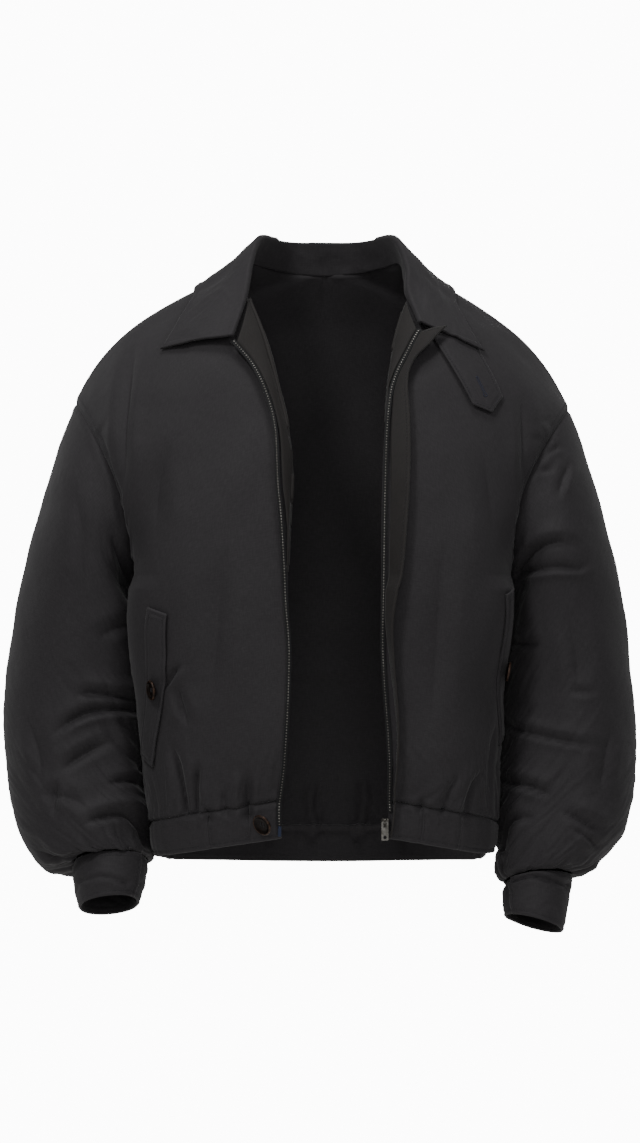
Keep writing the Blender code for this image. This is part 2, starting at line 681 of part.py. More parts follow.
def patch_grid(side, patch, rows, columns):
    """A laid piece as a grid from its head to its foot."""
    grid = []
    for i in range(rows + 1):
        down = i / rows
        bow = patch.bow * sin(pi * down)
        line = []
        for j in range(columns + 1):
            share = j / columns
            head = [a + (b - a) * share for a, b in zip(patch.head_fore, patch.head_aft)]
            foot = [a + (b - a) * share for a, b in zip(patch.foot_fore, patch.foot_aft)]
            across = head[0] + (foot[0] - head[0]) * down - bow
            up = head[1] + (foot[1] - head[1]) * down
            line.append(laid(side, across, up, PATCH_LIFT))
        grid.append(line)
    return grid


def make_flap(side, word):
    """A pocket flap, laid slanting on a front."""
    grid = patch_grid(side, FLAP[side], 8, 2)
    slab("pocket_flap_" + word, grid, side == LEFT, DOUBLED, BLACK_CLOTH, 0.6)


def make_throat_tab():
    """The throat tab, laid on the left front with its point towards the sleeve."""
    grid = patch_grid(LEFT, TAB, 6, 4)
    grid[-1][2] = laid(LEFT, *TAB_POINT, PATCH_LIFT)
    slab("throat_tab", grid, True, DOUBLED, BLACK_CLOTH, 0.6)


# ---------------------------------------------------------------- buttons and the zip's hard pieces


def frame_at(side, across, up, lift):
    """Axes on a front: X along it, Y into it, Z up it, at a point moved out by lift millimetres."""
    point = laid(side, across, up, lift)
    outward = (laid(side, across, up, lift + 1.0) - point).normalized()
    right = Vector((0, 0, 1)).cross(outward).normalized() * -1
    rise = right.cross(-outward)
    return Matrix.Translation(point) @ Matrix((right, -outward, rise)).transposed().to_4x4()


def make_button(button):
    """A sewn button with a raised rim and a dished middle, turned about its own axis."""
    radius, depth = button.diameter / 2, BUTTON_THICKNESS
    profile = [(0, 0), (radius * 0.72, 0), (radius * 0.96, depth * 0.35), (radius, depth * 0.62),
               (radius * 0.93, depth), (radius * 0.80, depth), (radius * 0.62, depth * 0.55), (0, depth * 0.48)]
    bm = bmesh.new()
    verts = [bm.verts.new((r * MM, 0, h * MM)) for r, h in profile]
    for a, b in zip(verts, verts[1:]):
        bm.edges.new((a, b))
    solid = finish_mesh(button.name, bm, HORN, 0.3, smooth=False)
    screw = solid.modifiers.new("Turn", "SCREW")
    screw.steps = screw.render_steps = 24
    screw.use_merge_vertices = True
    screw.merge_threshold = 0.00001
    screw.use_normal_calculate = True
    lift = button.below + BUTTON_CLEAR
    turn = Matrix.Rotation(radians(90), 4, "X")
    solid.matrix_world = frame_at(button.side, button.across, button.up, lift) @ turn
    return solid


def add_block(bm, size, centre):
    """A box in a bmesh, and its vertices."""
    place_in = Matrix.Translation(centre) @ Matrix.Diagonal((*size, 1.0))
    return bmesh.ops.create_cube(bm, size=1.0, matrix=place_in)["verts"]


def slider_frame():
    """The slider's axes: X across it, Y into the body, Z straight up, so that its tab hangs true."""
    point = laid(LEFT, 0.0, *SLIDER_PLACE)
    outward = laid(LEFT, 0.0, SLIDER_PLACE[0], SLIDER_PLACE[1] + 1.0) - point
    back = Vector((-outward.x, -outward.y, 0)).normalized()
    right = back.cross(Vector((0, 0, 1)))
    return Matrix.Translation(point - right * SLIDER_INWARD) @ Matrix(
        (right, back, Vector((0, 0, 1)))).transposed().to_4x4()


def make_block(name, size, centre, frame, colour, roughness, metallic, bevel):
    """A small box with rounded edges."""
    bm = bmesh.new()
    add_block(bm, size, centre)
    solid = finish_mesh(name, bm, colour, roughness, metallic, smooth=False)
    solid.matrix_world = frame
    rounding = solid.modifiers.new("Rounding", "BEVEL")
    rounding.width = bevel
    rounding.segments = 2
    return solid


def bail_outline():
    """The bail from the side, as (distance before the slider's face, height): a squared hoop."""
    reach, span, bar, root = BAIL_REACH, BAIL_SPAN / 2, BAIL_BAR, -BAIL_ROOT
    return [(root, span), (reach - bar, span), (reach, span - bar), (reach, bar - span), (reach - bar, -span),
            (root, -span), (root, bar - span), (reach - bar, bar - span), (reach - bar, span - bar),
            (root, span - bar)]


def make_slider(frame):
    """The slider's body with the bail that its tab hangs on."""
    slider = make_block("zip_slider", SLIDER, Vector(), frame, NICKEL, 0.3, 1.0, 0.8 * MM)
    face = -SLIDER.y / 2
    bm = bmesh.new()
    outline = [bm.verts.new((-BAIL_WIDTH / 2, face - out, rise + BAIL_RISE)) for out, rise in bail_outline()]
    side = bm.faces.new(outline)
    made = bmesh.ops.extrude_face_region(bm, geom=[side])
    moved = [part for part in made["geom"] if isinstance(part, bmesh.types.BMVert)]
    bmesh.ops.translate(bm, vec=(BAIL_WIDTH, 0, 0), verts=moved)
    bmesh.ops.recalc_face_normals(bm, faces=bm.faces)
    hoop = finish_mesh("slider_bail_shape", bm, NICKEL, 0.3, 1.0, smooth=False)
    hoop.matrix_world = frame
    hoop.hide_render = True
    hoop.display_type = "WIRE"
    bpy.data.collections["worn_blouson_jacket"].objects.unlink(hoop)
    bpy.data.collections["cutters"].objects.link(hoop)
    union = slider.modifiers.new("Bail", "BOOLEAN")
    union.operation = "UNION"
    union.object = hoop
    return slider


def ring_of_points(width, top, foot, corner):
    """A rounded outline as (x, z) points, with corner points at each of its four corners."""
    half = width / 2 - corner
    centres = [(half, top - corner, 0), (-half, top - corner, 90),
               (-half, foot + corner, 180), (half, foot + corner, 270)]
    return [(x + corner * cos(radians(start + turn)), z + corner * sin(radians(start + turn)))
            for x, z, start in centres for turn in (0, 30, 60, 90)]


def make_pull_tab(frame):
    """The pull tab: a flat plate with a window for the bail and a round hole near its foot."""
    top = TAB_BAR / 2
    foot = top - TAB_LENGTH
    hole_z = foot + TAB_HOLE_RISE
    outlines = [
        ring_of_points(TAB_WIDTH, top, foot, TAB_CORNER),
        ring_of_points(TAB_WINDOW.x, -TAB_BAR / 2, -TAB_BAR / 2 - TAB_WINDOW.y, WINDOW_CORNER),
        [(TAB_HOLE * cos(radians(a)), hole_z + TAB_HOLE * sin(radians(a))) for a in range(0, 360, 30)],
    ]
    curve = bpy.data.curves.new("zip_pull_tab", "CURVE")
    curve.dimensions = "2D"
    curve.fill_mode = "BOTH"
    curve.extrude = TAB_PLATE / 2
    for outline in outlines:
        spline = curve.splines.new("POLY")
        spline.points.add(len(outline) - 1)
        spline.use_cyclic_u = True
        for point, (x, z) in zip(spline.points, outline):
            point.co = (x, z, 0, 1)
    flat = bpy.data.objects.new("zip_pull_tab_outline", curve)
    bpy.data.collections["cutters"].objects.link(flat)
    mesh = bpy.data.meshes.new_from_object(flat.evaluated_get(bpy.context.evaluated_depsgraph_get()))
    bpy.data.objects.remove(flat)
    bm = bmesh.new()
    bm.from_mesh(mesh)
    bmesh.ops.remove_doubles(bm, verts=bm.verts, dist=0.01 * MM)
    bmesh.ops.transform(bm, matrix=Matrix.Rotation(radians(90), 4, "X"), verts=bm.verts)
    bmesh.ops.recalc_face_normals(bm, faces=bm.faces)
    tab = finish_mesh("zip_pull_tab", bm, NICKEL, 0.3, 1.0, smooth=False)
    axis = Vector((0, -SLIDER.y / 2 - TAB_AXIS_OUT, BAIL_RISE))
    tab.matrix_world = frame @ Matrix.Translation(axis)
    return tab


def main():
    for old in list(bpy.data.objects):
        bpy.data.objects.remove(old)
    for name in ("worn_blouson_jacket", "cutters"):
        bpy.context.scene.collection.children.link(bpy.data.collections.new(name))
    make_shell()
    make_collar()
    for side, word in ((RIGHT, "right"), (LEFT, "left")):
        make_cuff(side, word)
        make_zip_tape(side, word)
        make_flap(side, word)
    make_facing(RIGHT, "right", FACING_RIGHT_ENDS, 12)
    make_facing(LEFT, "left", FACING_LEFT_ENDS, 7)
    make_placket()
    make_throat_tab()
    for button in BUTTONS:
        make_button(button)
    frame = slider_frame()
    make_slider(frame)
    make_block("zip_box", BOX, Vector((0, BOX_BACK, -BOX_DROP)), frame, NICKEL, 0.35, 1.0, 0.7 * MM)
    make_pull_tab(frame)
    make_block("zip_pin", PIN, Vector(), frame_at(RIGHT, *PIN_PLACE), BLUE_PLASTIC, 0.4, 0.0, 0.6 * MM)


main()
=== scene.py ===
"""Worn blouson jacket: its cloth, trims and hard pieces as they look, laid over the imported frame.

Axes: +X is the wearer's left, -Y the front, +Z up. Lengths in the tables are in millimetres; `out` is the
distance from the centre line, the same on both sides.
"""

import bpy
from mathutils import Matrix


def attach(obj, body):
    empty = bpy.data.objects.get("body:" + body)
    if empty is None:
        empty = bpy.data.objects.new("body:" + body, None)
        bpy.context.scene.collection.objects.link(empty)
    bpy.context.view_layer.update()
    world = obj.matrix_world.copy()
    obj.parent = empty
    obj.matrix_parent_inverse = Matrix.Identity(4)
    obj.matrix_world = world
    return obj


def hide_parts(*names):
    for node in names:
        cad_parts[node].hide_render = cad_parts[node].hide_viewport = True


bl_info = {
    "name": "Worn Blouson Jacket",
    "version": (1, 0, 0),
    "blender": (4, 5, 0),
    "location": "View3D > Sidebar > Jacket",
    "description": "Dresses the packed jacket in its cloth, stitching, zip and buttons",
    "category": "Object",
}

from collections import namedtuple
from math import atan, cos, pi, radians, sin

import bmesh
import bpy
import numpy as np
from bpy.props import FloatProperty, FloatVectorProperty, PointerProperty
from mathutils import Matrix, Vector, noise

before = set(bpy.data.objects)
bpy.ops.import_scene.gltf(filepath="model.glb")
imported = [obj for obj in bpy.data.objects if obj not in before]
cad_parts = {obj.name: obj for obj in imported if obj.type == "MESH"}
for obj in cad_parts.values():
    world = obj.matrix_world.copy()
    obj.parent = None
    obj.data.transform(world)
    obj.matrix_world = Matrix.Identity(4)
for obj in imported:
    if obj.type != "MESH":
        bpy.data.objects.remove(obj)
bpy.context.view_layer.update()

MM = 0.001
RIGHT, LEFT = -1, 1         # the wearer's sides, as the sign of X
WORDS = {RIGHT: "right", LEFT: "left"}
BODY = "jacket"
BAND_HEIGHT = 38.0
CLOTH, INNER_CLOTH = "Black plain-woven cloth", "Black cloth, inner side"

# ---------------------------------------------------------------- tables of the cut

# The front edge, from the hem seam to the neck corner.
Edge = namedtuple("Edge", "station out y z")
FRONT_EDGE = {
    RIGHT: [
        Edge(0.00, 45, -140, -564),
        Edge(0.08, 40, -150, -521),
        Edge(0.30, 35, -153, -412),
        Edge(0.45, 38, -152, -345),
        Edge(0.60, 36, -144, -251),
        Edge(0.67, 37, -133, -200),
        Edge(0.76, 50, -110, -138),
        Edge(0.84, 64, -80, -86),
        Edge(0.92, 82, -45, -39),
    ],
    LEFT: [
        Edge(0.00, 64, -140, -564),
        Edge(0.08, 64, -150, -521),
        Edge(0.30, 57, -153, -412),
        Edge(0.45, 57, -152, -345),
        Edge(0.60, 58, -144, -251),
        Edge(0.67, 60, -133, -200),
        Edge(0.76, 65, -110, -138),
        Edge(0.84, 74, -80, -86),
        Edge(0.92, 86, -45, -44),
    ],
}
NECK_CORNER = 0.92          # station where the front edge runs into the neckline

# The centre back line, from the hem seam to the back neck.
CENTRE_BACK = [
    Edge(0.00, 0, 117, -606),
    Edge(0.08, 0, 130, -566),
    Edge(0.30, 0, 140, -460),
    Edge(0.45, 0, 142, -378),
    Edge(0.60, 0, 138, -294),
    Edge(0.70, 0, 131, -218),
    Edge(0.80, 0, 120, -138),
    Edge(0.88, 0, 104, -66),
    Edge(0.93, 0, 74, -10),
]
BACK_NECK = 0.93            # station of the centre back line's top end

# The neckline of one side, from the centre back by the shoulder seam to the front corner.
NECKLINE = [
    Edge(0.00, 0, 74, -10),
    Edge(0.22, 44, 62, -7),
    Edge(0.45, 80, 8, -2),
    Edge(0.70, 83, -19, -17),
    Edge(1.00, 82, -45, -39),
]
NECK_SHOULDER = 0.45        # where the neckline meets the shoulder seam

# The side seam, from the hem seam to the underarm.
SIDE_SEAM = [
    Edge(0.00, 171, 3, -598),
    Edge(0.08, 180, 5, -562),
    Edge(0.30, 184, 8, -470),
    Edge(0.45, 185, 8, -402),
    Edge(0.60, 187, 4, -336),
]
UNDERARM = 0.60             # station of the side seam's top end

# Cross-sections of half a front or back. near bends the line where it leaves the edge, far where it
# comes to the side: offsets from those ends.
Bend = namedtuple("Bend", "station near_out near_y near_z far_out far_y far_z")
SHOULDER_BENDS = [
    Bend(0.80, 68, -24, -26, 2, -46, 32),
    Bend(0.87, 54, -30, -22, -24, -36, 40),
    Bend(0.92, 50, -28, -26, -36, -32, 48),
    Bend(0.96, 58, -14, -28, -38, -18, 66),
    Bend(1.00, 70, -2, -38, -32, 0, 88),
]
FRONT_BENDS = {
    RIGHT: [
        Bend(0.00, 88, -8, -14, 34, -108, 12),
        Bend(0.08, 92, -12, -12, 34, -118, 10),
        Bend(0.30, 104, -12, -16, 38, -116, 14),
        Bend(0.45, 135, -10, -20, 38, -116, 12),
        Bend(0.60, 142, -9, -24, 14, -122, 4),
        Bend(0.70, 100, -14, -30, 18, -68, 20),
        *SHOULDER_BENDS,
    ],
    LEFT: [
        Bend(0.00, 88, -8, -14, 26, -104, 12),
        Bend(0.08, 92, -12, -12, 17, -112, 10),
        Bend(0.30, 104, -12, -16, 12, -114, 14),
        Bend(0.45, 135, -10, -20, 13, -114, 12),
        Bend(0.60, 142, -9, -24, 0, -112, 0),
        Bend(0.70, 100, -14, -30, 14, -66, 20),
        *SHOULDER_BENDS,
    ],
}
BACK_BENDS = [
    Bend(0.00, 85, 0, 0, 18, 88, -2),
    Bend(0.08, 90, 2, 0, 18, 98, 0),
    Bend(0.30, 100, 0, 0, 18, 100, 0),
    Bend(0.45, 110, 0, 0, 18, 100, 2),
    Bend(0.60, 120, 0, 0, 6, 96, 4),
    Bend(0.70, 96, 0, 0, 12, 60, 18),
    Bend(0.80, 80, 0, 0, 0, 42, 30),
    Bend(0.88, 74, -2, -4, -30, 34, 40),
    Bend(0.95, 62, 2, -18, -40, 26, 62),
    SHOULDER_BENDS[-1],
]

# Sleeve sections: the outer and inner ends, how far the section stands before and behind its middle,
# and how much its front is lifted by the forward lean of the arm. The first row is the armhole.
Ring = namedtuple("Ring", "station top_out top_z low_out low_z middle_y front back lift hollow")
SLEEVE = {
    RIGHT: [
        Ring(0.00, 264, -150, 197, -336, 0, 86, 88, 0, 15),
        Ring(0.10, 283, -200, 209, -350, 1, 92, 90, 2, 3),
        Ring(0.22, 304, -272, 204, -382, 3, 93, 88, 4, 0),
        Ring(0.36, 325, -355, 199, -424, 7, 90, 86, 6, 0),
        Ring(0.50, 339, -438, 196, -472, 9, 88, 83, 8, 0),
        Ring(0.64, 342, -508, 193, -524, 4, 85, 82, 11, 0),
        Ring(0.77, 334, -566, 189, -572, -6, 80, 80, 14, 0),
        Ring(0.88, 319, -612, 184, -608, -20, 72, 76, 17, 0),
        Ring(0.95, 298, -640, 180, -626, -32, 60, 66, 18, 0),
        Ring(1.00, 264, -634, 183, -630, -43, 42, 43, 15, 0),
    ],
    LEFT: [
        Ring(0.00, 258, -157, 193, -339, 0, 86, 88, 0, 20),
        Ring(0.10, 274, -203, 207, -352, 1, 92, 90, 2, 4),
        Ring(0.22, 294, -272, 205, -385, 3, 93, 88, 4, 0),
        Ring(0.36, 314, -352, 200, -427, 7, 90, 86, 6, 0),
        Ring(0.50, 326, -434, 196, -476, 9, 88, 83, 8, 0),
        Ring(0.64, 330, -506, 192, -530, 4, 85, 82, 10, 0),
        Ring(0.77, 325, -568, 187, -580, -6, 80, 80, 12, 0),
        Ring(0.88, 311, -616, 181, -622, -20, 72, 76, 14, 0),
        Ring(0.95, 291, -646, 178, -644, -32, 60, 66, 14, 0),
        Ring(1.00, 259, -648, 187, -654, -43, 40, 42, 12, 0),
    ],
}
CUFF = {
    RIGHT: [
        SLEEVE[RIGHT][-1]._replace(station=0.0),
        Ring(1.0, 257, -680, 192, -673, -62, 36, 37, 13, 0),
    ],
    LEFT: [
        SLEEVE[LEFT][-1]._replace(station=0.0),
        Ring(1.0, 249, -704, 189, -688, -60, 35, 36, 9, 0),
    ],
}

# The collar, from the centre back to the front end: where a section starts on the panel, how far off it,
# the stand up to its roll, and where the leaf's edge lies on the panel.
Fold = namedtuple("Fold", "forward across up clear stand_out stand_y stand_z edge_across edge_up")
COLLAR_BACK = [
    Fold(False, 0.00, 0.930, 0.6, 0, -8, 36, 0.00, 0.910),
    Fold(False, 0.00, 0.957, 0.6, -3, -4, 34, 0.13, 0.925),
    Fold(False, 0.00, 0.980, 0.6, -8, 0, 31, 0.20, 0.955),
]
COLLAR = {
    RIGHT: [
        *COLLAR_BACK,
        Fold(True, 0.00, 1.000, 0.6, -10, -1, 27, 0.235, 1.000),
        Fold(True, 0.00, 0.960, 0.8, -4, -3, 15, 0.29, 0.967),
        Fold(True, 0.00, 0.928, 2.0, 0, -4, 8, 0.37, 0.941),
        Fold(True, 0.08, 0.893, 6.5, 0, -6, 6, 0.43, 0.925),
        Fold(True, 0.164, 0.861, 8.5, 0, -11, 3, 0.495, 0.912),
    ],
    LEFT: [
        *COLLAR_BACK,
        Fold(True, 0.00, 1.000, 0.6, -5, -1, 27, 0.24, 1.000),
        Fold(True, 0.00, 0.960, 0.8, 2, -3, 15, 0.29, 0.960),
        Fold(True, 0.00, 0.928, 2.0, 2, -4, 8, 0.357, 0.938),
        Fold(True, 0.07, 0.902, 5.5, 0, -6, 6, 0.41, 0.922),
        Fold(True, 0.122, 0.880, 6.0, 0, -11, 5, 0.469, 0.909),
    ],
}
ROLL_WIDTH = 8.0            # across the collar's roll, from the stand to the leaf
ROLL_COLUMN = 22            # the column of the collar's fine grid that runs along the middle of its roll

# Lines along the opening, read by their height on the panel: the zip's chain, and the fly's free edge.
Line = namedtuple("Line", "station across lift")
CHAIN = {
    RIGHT: [
        Line(-0.10, 0.008, 2.4),
        Line(0.00, 0.008, 2.4),
        Line(0.45, 0.008, 2.8),
        Line(0.57, 0.021, 7.0),
        Line(0.65, 0.037, 9.0),
        Line(0.735, 0.042, 9.0),
        Line(0.80, 0.084, 9.0),
        Line(0.855, 0.164, 9.0),
    ],
    LEFT: [
        Line(-0.10, 0.008, 2.4),
        Line(0.00, 0.008, 2.4),
        Line(0.64, 0.008, 3.2),
        Line(0.745, 0.014, 5.5),
        Line(0.783, 0.036, 7.0),
        Line(0.824, 0.081, 8.5),
        Line(0.869, 0.127, 9.0),
    ],
}
FLY_EDGE = [
    Line(-0.10, 0.022, 6.0),
    Line(0.10, 0.027, 10.0),
    Line(0.23, 0.034, 14.0),
    Line(0.39, 0.045, 15.0),
    Line(0.50, 0.058, 15.0),
    Line(0.60, 0.067, 13.0),
    Line(0.72, 0.092, 11.0),
    Line(0.783, 0.088, 12.0),
    Line(0.813, 0.115, 12.0),
    Line(0.848, 0.186, 14.0),
    Line(0.898, 0.259, 16.0),
]
ROLL_LIFT = 2.8             # how far the turned-back cloth lies before the panel at the roll
# A facing's foot, then its head at the roll and at the chain; the fly's foot, then its head there and at its edge.
FACING_ENDS = {RIGHT: (0.60, 0.912, 0.848), LEFT: (0.765, 0.912, 0.862)}
FLY_ENDS = (-0.092, 0.862, 0.892)
# How far the turned-back strips run on below their solids, as they narrow to nothing.
FACING_TAPER = {RIGHT: 0.12, LEFT: 0.06}
TAPE_WIDTH = 5.0
TAPE_THICKNESS = 1.4 * MM
BESIDE_TAPE = 0.0140        # from a tape's middle to the cloth beside it, as a share of the front's width
TAPE_ENDS = {RIGHT: (-0.062, 0.852), LEFT: (-0.026, 0.864)}

# Flat pieces laid on a front: (across, up) of their corners, then how the long edges bow towards the
# opening.
Patch = namedtuple("Patch", "head_fore head_aft foot_fore foot_aft bow")
FLAP = {
    RIGHT: Patch((0.396, 0.447), (0.492, 0.475), (0.617, 0.117), (0.728, 0.155), 0.014),
    LEFT: Patch((0.514, 0.509), (0.610, 0.537), (0.735, 0.179), (0.846, 0.217), 0.014),
}
TAB = Patch((0.085, 0.897), (0.385, 0.927), (0.430, 0.813), (0.618, 0.866), 0.0)
TAB_POINT = (0.556, 0.829)

# Seams of the hem band, as places across each front.
BAND_SEAMS = {RIGHT: (0.128, 0.308), LEFT: (0.142, 0.350)}

# Buttons: where they lie on a front, and their size.
Button = namedtuple("Button", "name side across up diameter below")
BUTTONS = [
    Button("waist_button", RIGHT, 0.068, -0.050, 23.0, -0.4),
    Button("pocket_button_right", RIGHT, 0.535, 0.288, 21.0, 3.8),
    Button("pocket_button_left", LEFT, 0.653, 0.350, 21.0, 3.8),
]
BUTTON_THICKNESS = 4.2

# The cuff goes round once and laps under its own end.
CUFF_START, CUFF_SWEEP = radians(146), radians(384)
UNDERLAP = 4.0              # how far the under end of a cuff lies inside the upper one

# ---------------------------------------------------------------- curves and sections


def read(table, station):
    """A table's row at any station, on a smooth curve through its rows."""
    last = len(table) - 2
    row = next((i for i in range(last + 1) if station <= table[i + 1].station), last)
    before, start = table[max(row - 1, 0)], table[row]
    end, after = table[row + 1], table[min(row + 2, last + 1)]
    span = end.station - start.station
    t = (station - start.station) / span
    values = []
    for a, b, c, d in zip(before[1:], start[1:], end[1:], after[1:]):
        slope_start = (c - a) / (end.station - before.station) * span
        slope_end = (d - b) / (after.station - start.station) * span
        values.append(
            b * (1 + 2 * t) * (1 - t) ** 2
            + slope_start * t * (1 - t) ** 2
            + c * t * t * (3 - 2 * t)
            - slope_end * t * t * (1 - t)
        )
    return type(start)(station, *values)


def neckline(side, station):
    """A point on the neckline, with the front corner drawn to this side's own edge."""
    row = read(NECKLINE, station)
    corner, plain = FRONT_EDGE[side][-1], NECKLINE[-1]
    pull = max(0.0, (station - NECK_SHOULDER) / (1 - NECK_SHOULDER))
    return (row.out + pull * (corner.out - plain.out), row.y, row.z + pull * (corner.z - plain.z))


def ring_point(row, angle):
    """A point on a sleeve section: angle 0 is its outer end, pi/2 its front, pi its inner end."""
    forward = sin(angle)
    reach = row.front if forward > 0 else row.back
    out = (row.top_out + row.low_out) / 2 + cos(angle) * (row.top_out - row.low_out) / 2
    z = (row.top_z + row.low_z) / 2 + cos(angle) * (row.top_z - row.low_z) / 2
    return (out - row.hollow * forward * forward, row.middle_y - forward * reach, z + forward * row.lift)


def inner_end(side, station, forward):
    """Where a panel's section starts: on its front edge or the centre back, then on the neckline."""
    table, turn = (FRONT_EDGE[side], NECK_CORNER) if forward else (CENTRE_BACK, BACK_NECK)
    if station <= turn:
        return read(table, station)[1:]
    along = (1 - station) / (1 - NECK_CORNER) if forward else (station - BACK_NECK) / (1 - BACK_NECK)
    return neckline(side, NECK_SHOULDER + along * (1 - NECK_SHOULDER) if forward else along * NECK_SHOULDER)


def outer_end(side, station, forward):
    """Where a panel's section ends: on the side seam, then on the armhole up to the shoulder."""
    if station >= UNDERARM:
        angle = pi * (1 - (station - UNDERARM) / (1 - UNDERARM))
        return ring_point(SLEEVE[side][0], angle if forward else -angle)
    row = read(SIDE_SEAM, station)
    armhole, plain = SLEEVE[side][0], SIDE_SEAM[-1]
    pull = station / UNDERARM
    return (row.out + pull * (armhole.low_out - plain.out),
            row.y + pull * (armhole.middle_y - plain.y),
            row.z + pull * (armhole.low_z - plain.z))


def section(side, forward, station, across):
    """A front's (forward) or back half's section at places across: 0 is its inner edge, 1 its side or armhole."""
    a = np.array(inner_end(side, station, forward))
    d = np.array(outer_end(side, station, forward))
    bend = read(FRONT_BENDS[side] if forward else BACK_BENDS, station)
    b = a + (bend.near_out, bend.near_y, bend.near_z)
    c = d + (bend.far_out, bend.far_y, bend.far_z)
    t = across
    return (a * (1 - t) ** 3 + b * 3 * t * (1 - t) ** 2 + c * 3 * t * t * (1 - t) + d * t ** 3) * (side, 1, 1) * MM


def panel_point(side, forward, across, station):
    """A point on a front (forward) or on half of the back."""
    return Vector(section(side, forward, station, across))


def band_fill(drop):
    """How far the hem band stands out, in millimetres: 0 is its seam, 1 its lower edge."""
    return 2.5 * sin(pi * drop) - 3.0 * drop


def front_point(side, across, up):
    """A point on a front, or on the band below it where up is under 0 (its lower edge is -0.1)."""
    if up >= 0:
        return panel_point(side, True, across, up)
    drop = -up / 0.1
    seam = panel_point(side, True, across, 0.0)
    outward = Vector((seam.x, seam.y, 0)).normalized()
    return seam + (outward * band_fill(drop) - Vector((0, 0, BAND_HEIGHT * drop))) * MM


NUDGE = 1e-3                # the step by which a direction on a panel is found


def laid(side, across, up, lift, forward=True):
    """A point on a panel, moved out by lift millimetres."""
    point = front_point if forward else (lambda s, a, u: panel_point(s, False, a, u))
    along = point(side, min(across + NUDGE, 1.0), up) - point(side, max(across - NUDGE, 0.0), up)
    rise = point(side, across, min(up + NUDGE, 1.0)) - point(side, across, up - NUDGE)
    outward = along.cross(rise).normalized() * (side if forward else -side)
    return point(side, across, up) + outward * lift * MM


# ---------------------------------------------------------------- creases

# A crease as it shows from before or behind: its line as (x, z), the width of its trough, its depth, how far
# the cloth swells beside it (on the left and on the right of its run), and whether it runs on (1) or fades
# out (0) at its start and its end.
Crease = namedtuple("Crease", "line width depth left right start end", defaults=(0, 0))

ARM_CREASES = {
    RIGHT: [
        Crease([(-264, -459), (-246, -455), (-222, -459), (-198, -467)], 7, 5.0, 3.0, 1.5, 0, 1),
        Crease([(-290, -503), (-258, -480), (-227, -472), (-196, -477)], 7, 5.5, 1.5, 3.0, 0, 1),
        Crease([(-279, -539), (-255, -521), (-220, -503)], 8, 4.5, 2.5, 1.0),
        Crease([(-283, -588), (-281, -560), (-276, -540)], 8, 3.5, 1.0, 2.0),
        Crease([(-231, -551), (-214, -548), (-192, -555)], 6, 4.0, 2.0, 1.0, 0, 1),
        Crease([(-258, -595), (-235, -584), (-211, -583), (-192, -600), (-181, -618)], 7, 5.5, 3.0, 1.0, 0, 1),
        Crease([(-205, -540), (-190, -533)], 5, 3.5, 1.0, 1.5, 0, 1),
        Crease([(-207, -291), (-217, -242), (-222, -207)], 6, 3.0, 1.0, 1.5),
        Crease([(-205, -344), (-214, -318), (-224, -287)], 6, 3.0, 1.5, 1.0),
        Crease([(-240, -400), (-222, -385), (-205, -380)], 9, 2.5, 1.5, 1.0, 0, 1),
        Crease([(-300, -560), (-270, -562), (-245, -575)], 9, 2.5, 1.5, 1.0),
        Crease([(-315, -470), (-300, -520), (-296, -560)], 11, 2.5, 1.5, 1.5),
        Crease([(-305, -618), (-285, -628), (-262, -632)], 6, 3.5, 1.5, 1.0),
        Crease([(-262, -240), (-250, -300), (-246, -360)], 14, 2.2, 1.2, 1.2),
    ],
    LEFT: [
        Crease([(220, -212), (236, -202), (251, -195)], 5, 2.5, 1.2, 1.2, 1, 0),
        Crease([(220, -223), (240, -223)], 5, 2.0, 1.0, 1.0, 1, 0),
        Crease([(240, -255), (249, -230), (258, -208)], 6, 2.5, 1.0, 1.5),
        Crease([(203, -329), (218, -308), (240, -298), (266, -305)], 7, 4.2, 3.0, 0.6, 1, 0),
        Crease([(203, -331), (238, -324), (265, -325), (277, -314)], 6, 3.4, 0.6, 2.6, 1, 0),
        Crease([(194, -408), (212, -404), (231, -404)], 7, 3.0, 1.5, 1.0, 1, 0),
        Crease([(252, -452), (285, -455)], 6, 2.0, 1.0, 1.0),
        Crease([(192, -486), (220, -498), (258, -506), (299, -511)], 6, 2.8, 1.6, 0.8, 1, 0),
        Crease([(192, -550), (215, -553), (239, -562)], 7, 4.0, 2.0, 1.5, 1, 0),
        Crease([(239, -574), (268, -588), (295, -607)], 8, 4.5, 2.5, 1.5),
        Crease([(251, -591), (272, -604), (289, -622)], 6, 3.0, 1.0, 1.5),
        Crease([(187, -618), (200, -591), (222, -582)], 7, 4.5, 2.5, 1.0, 1, 0),
        Crease([(300, -480), (292, -530), (286, -570)], 12, 2.5, 1.5, 1.5),
        Crease([(250, -360), (262, -420), (262, -470)], 14, 2.2, 1.4, 1.2),
    ],
}

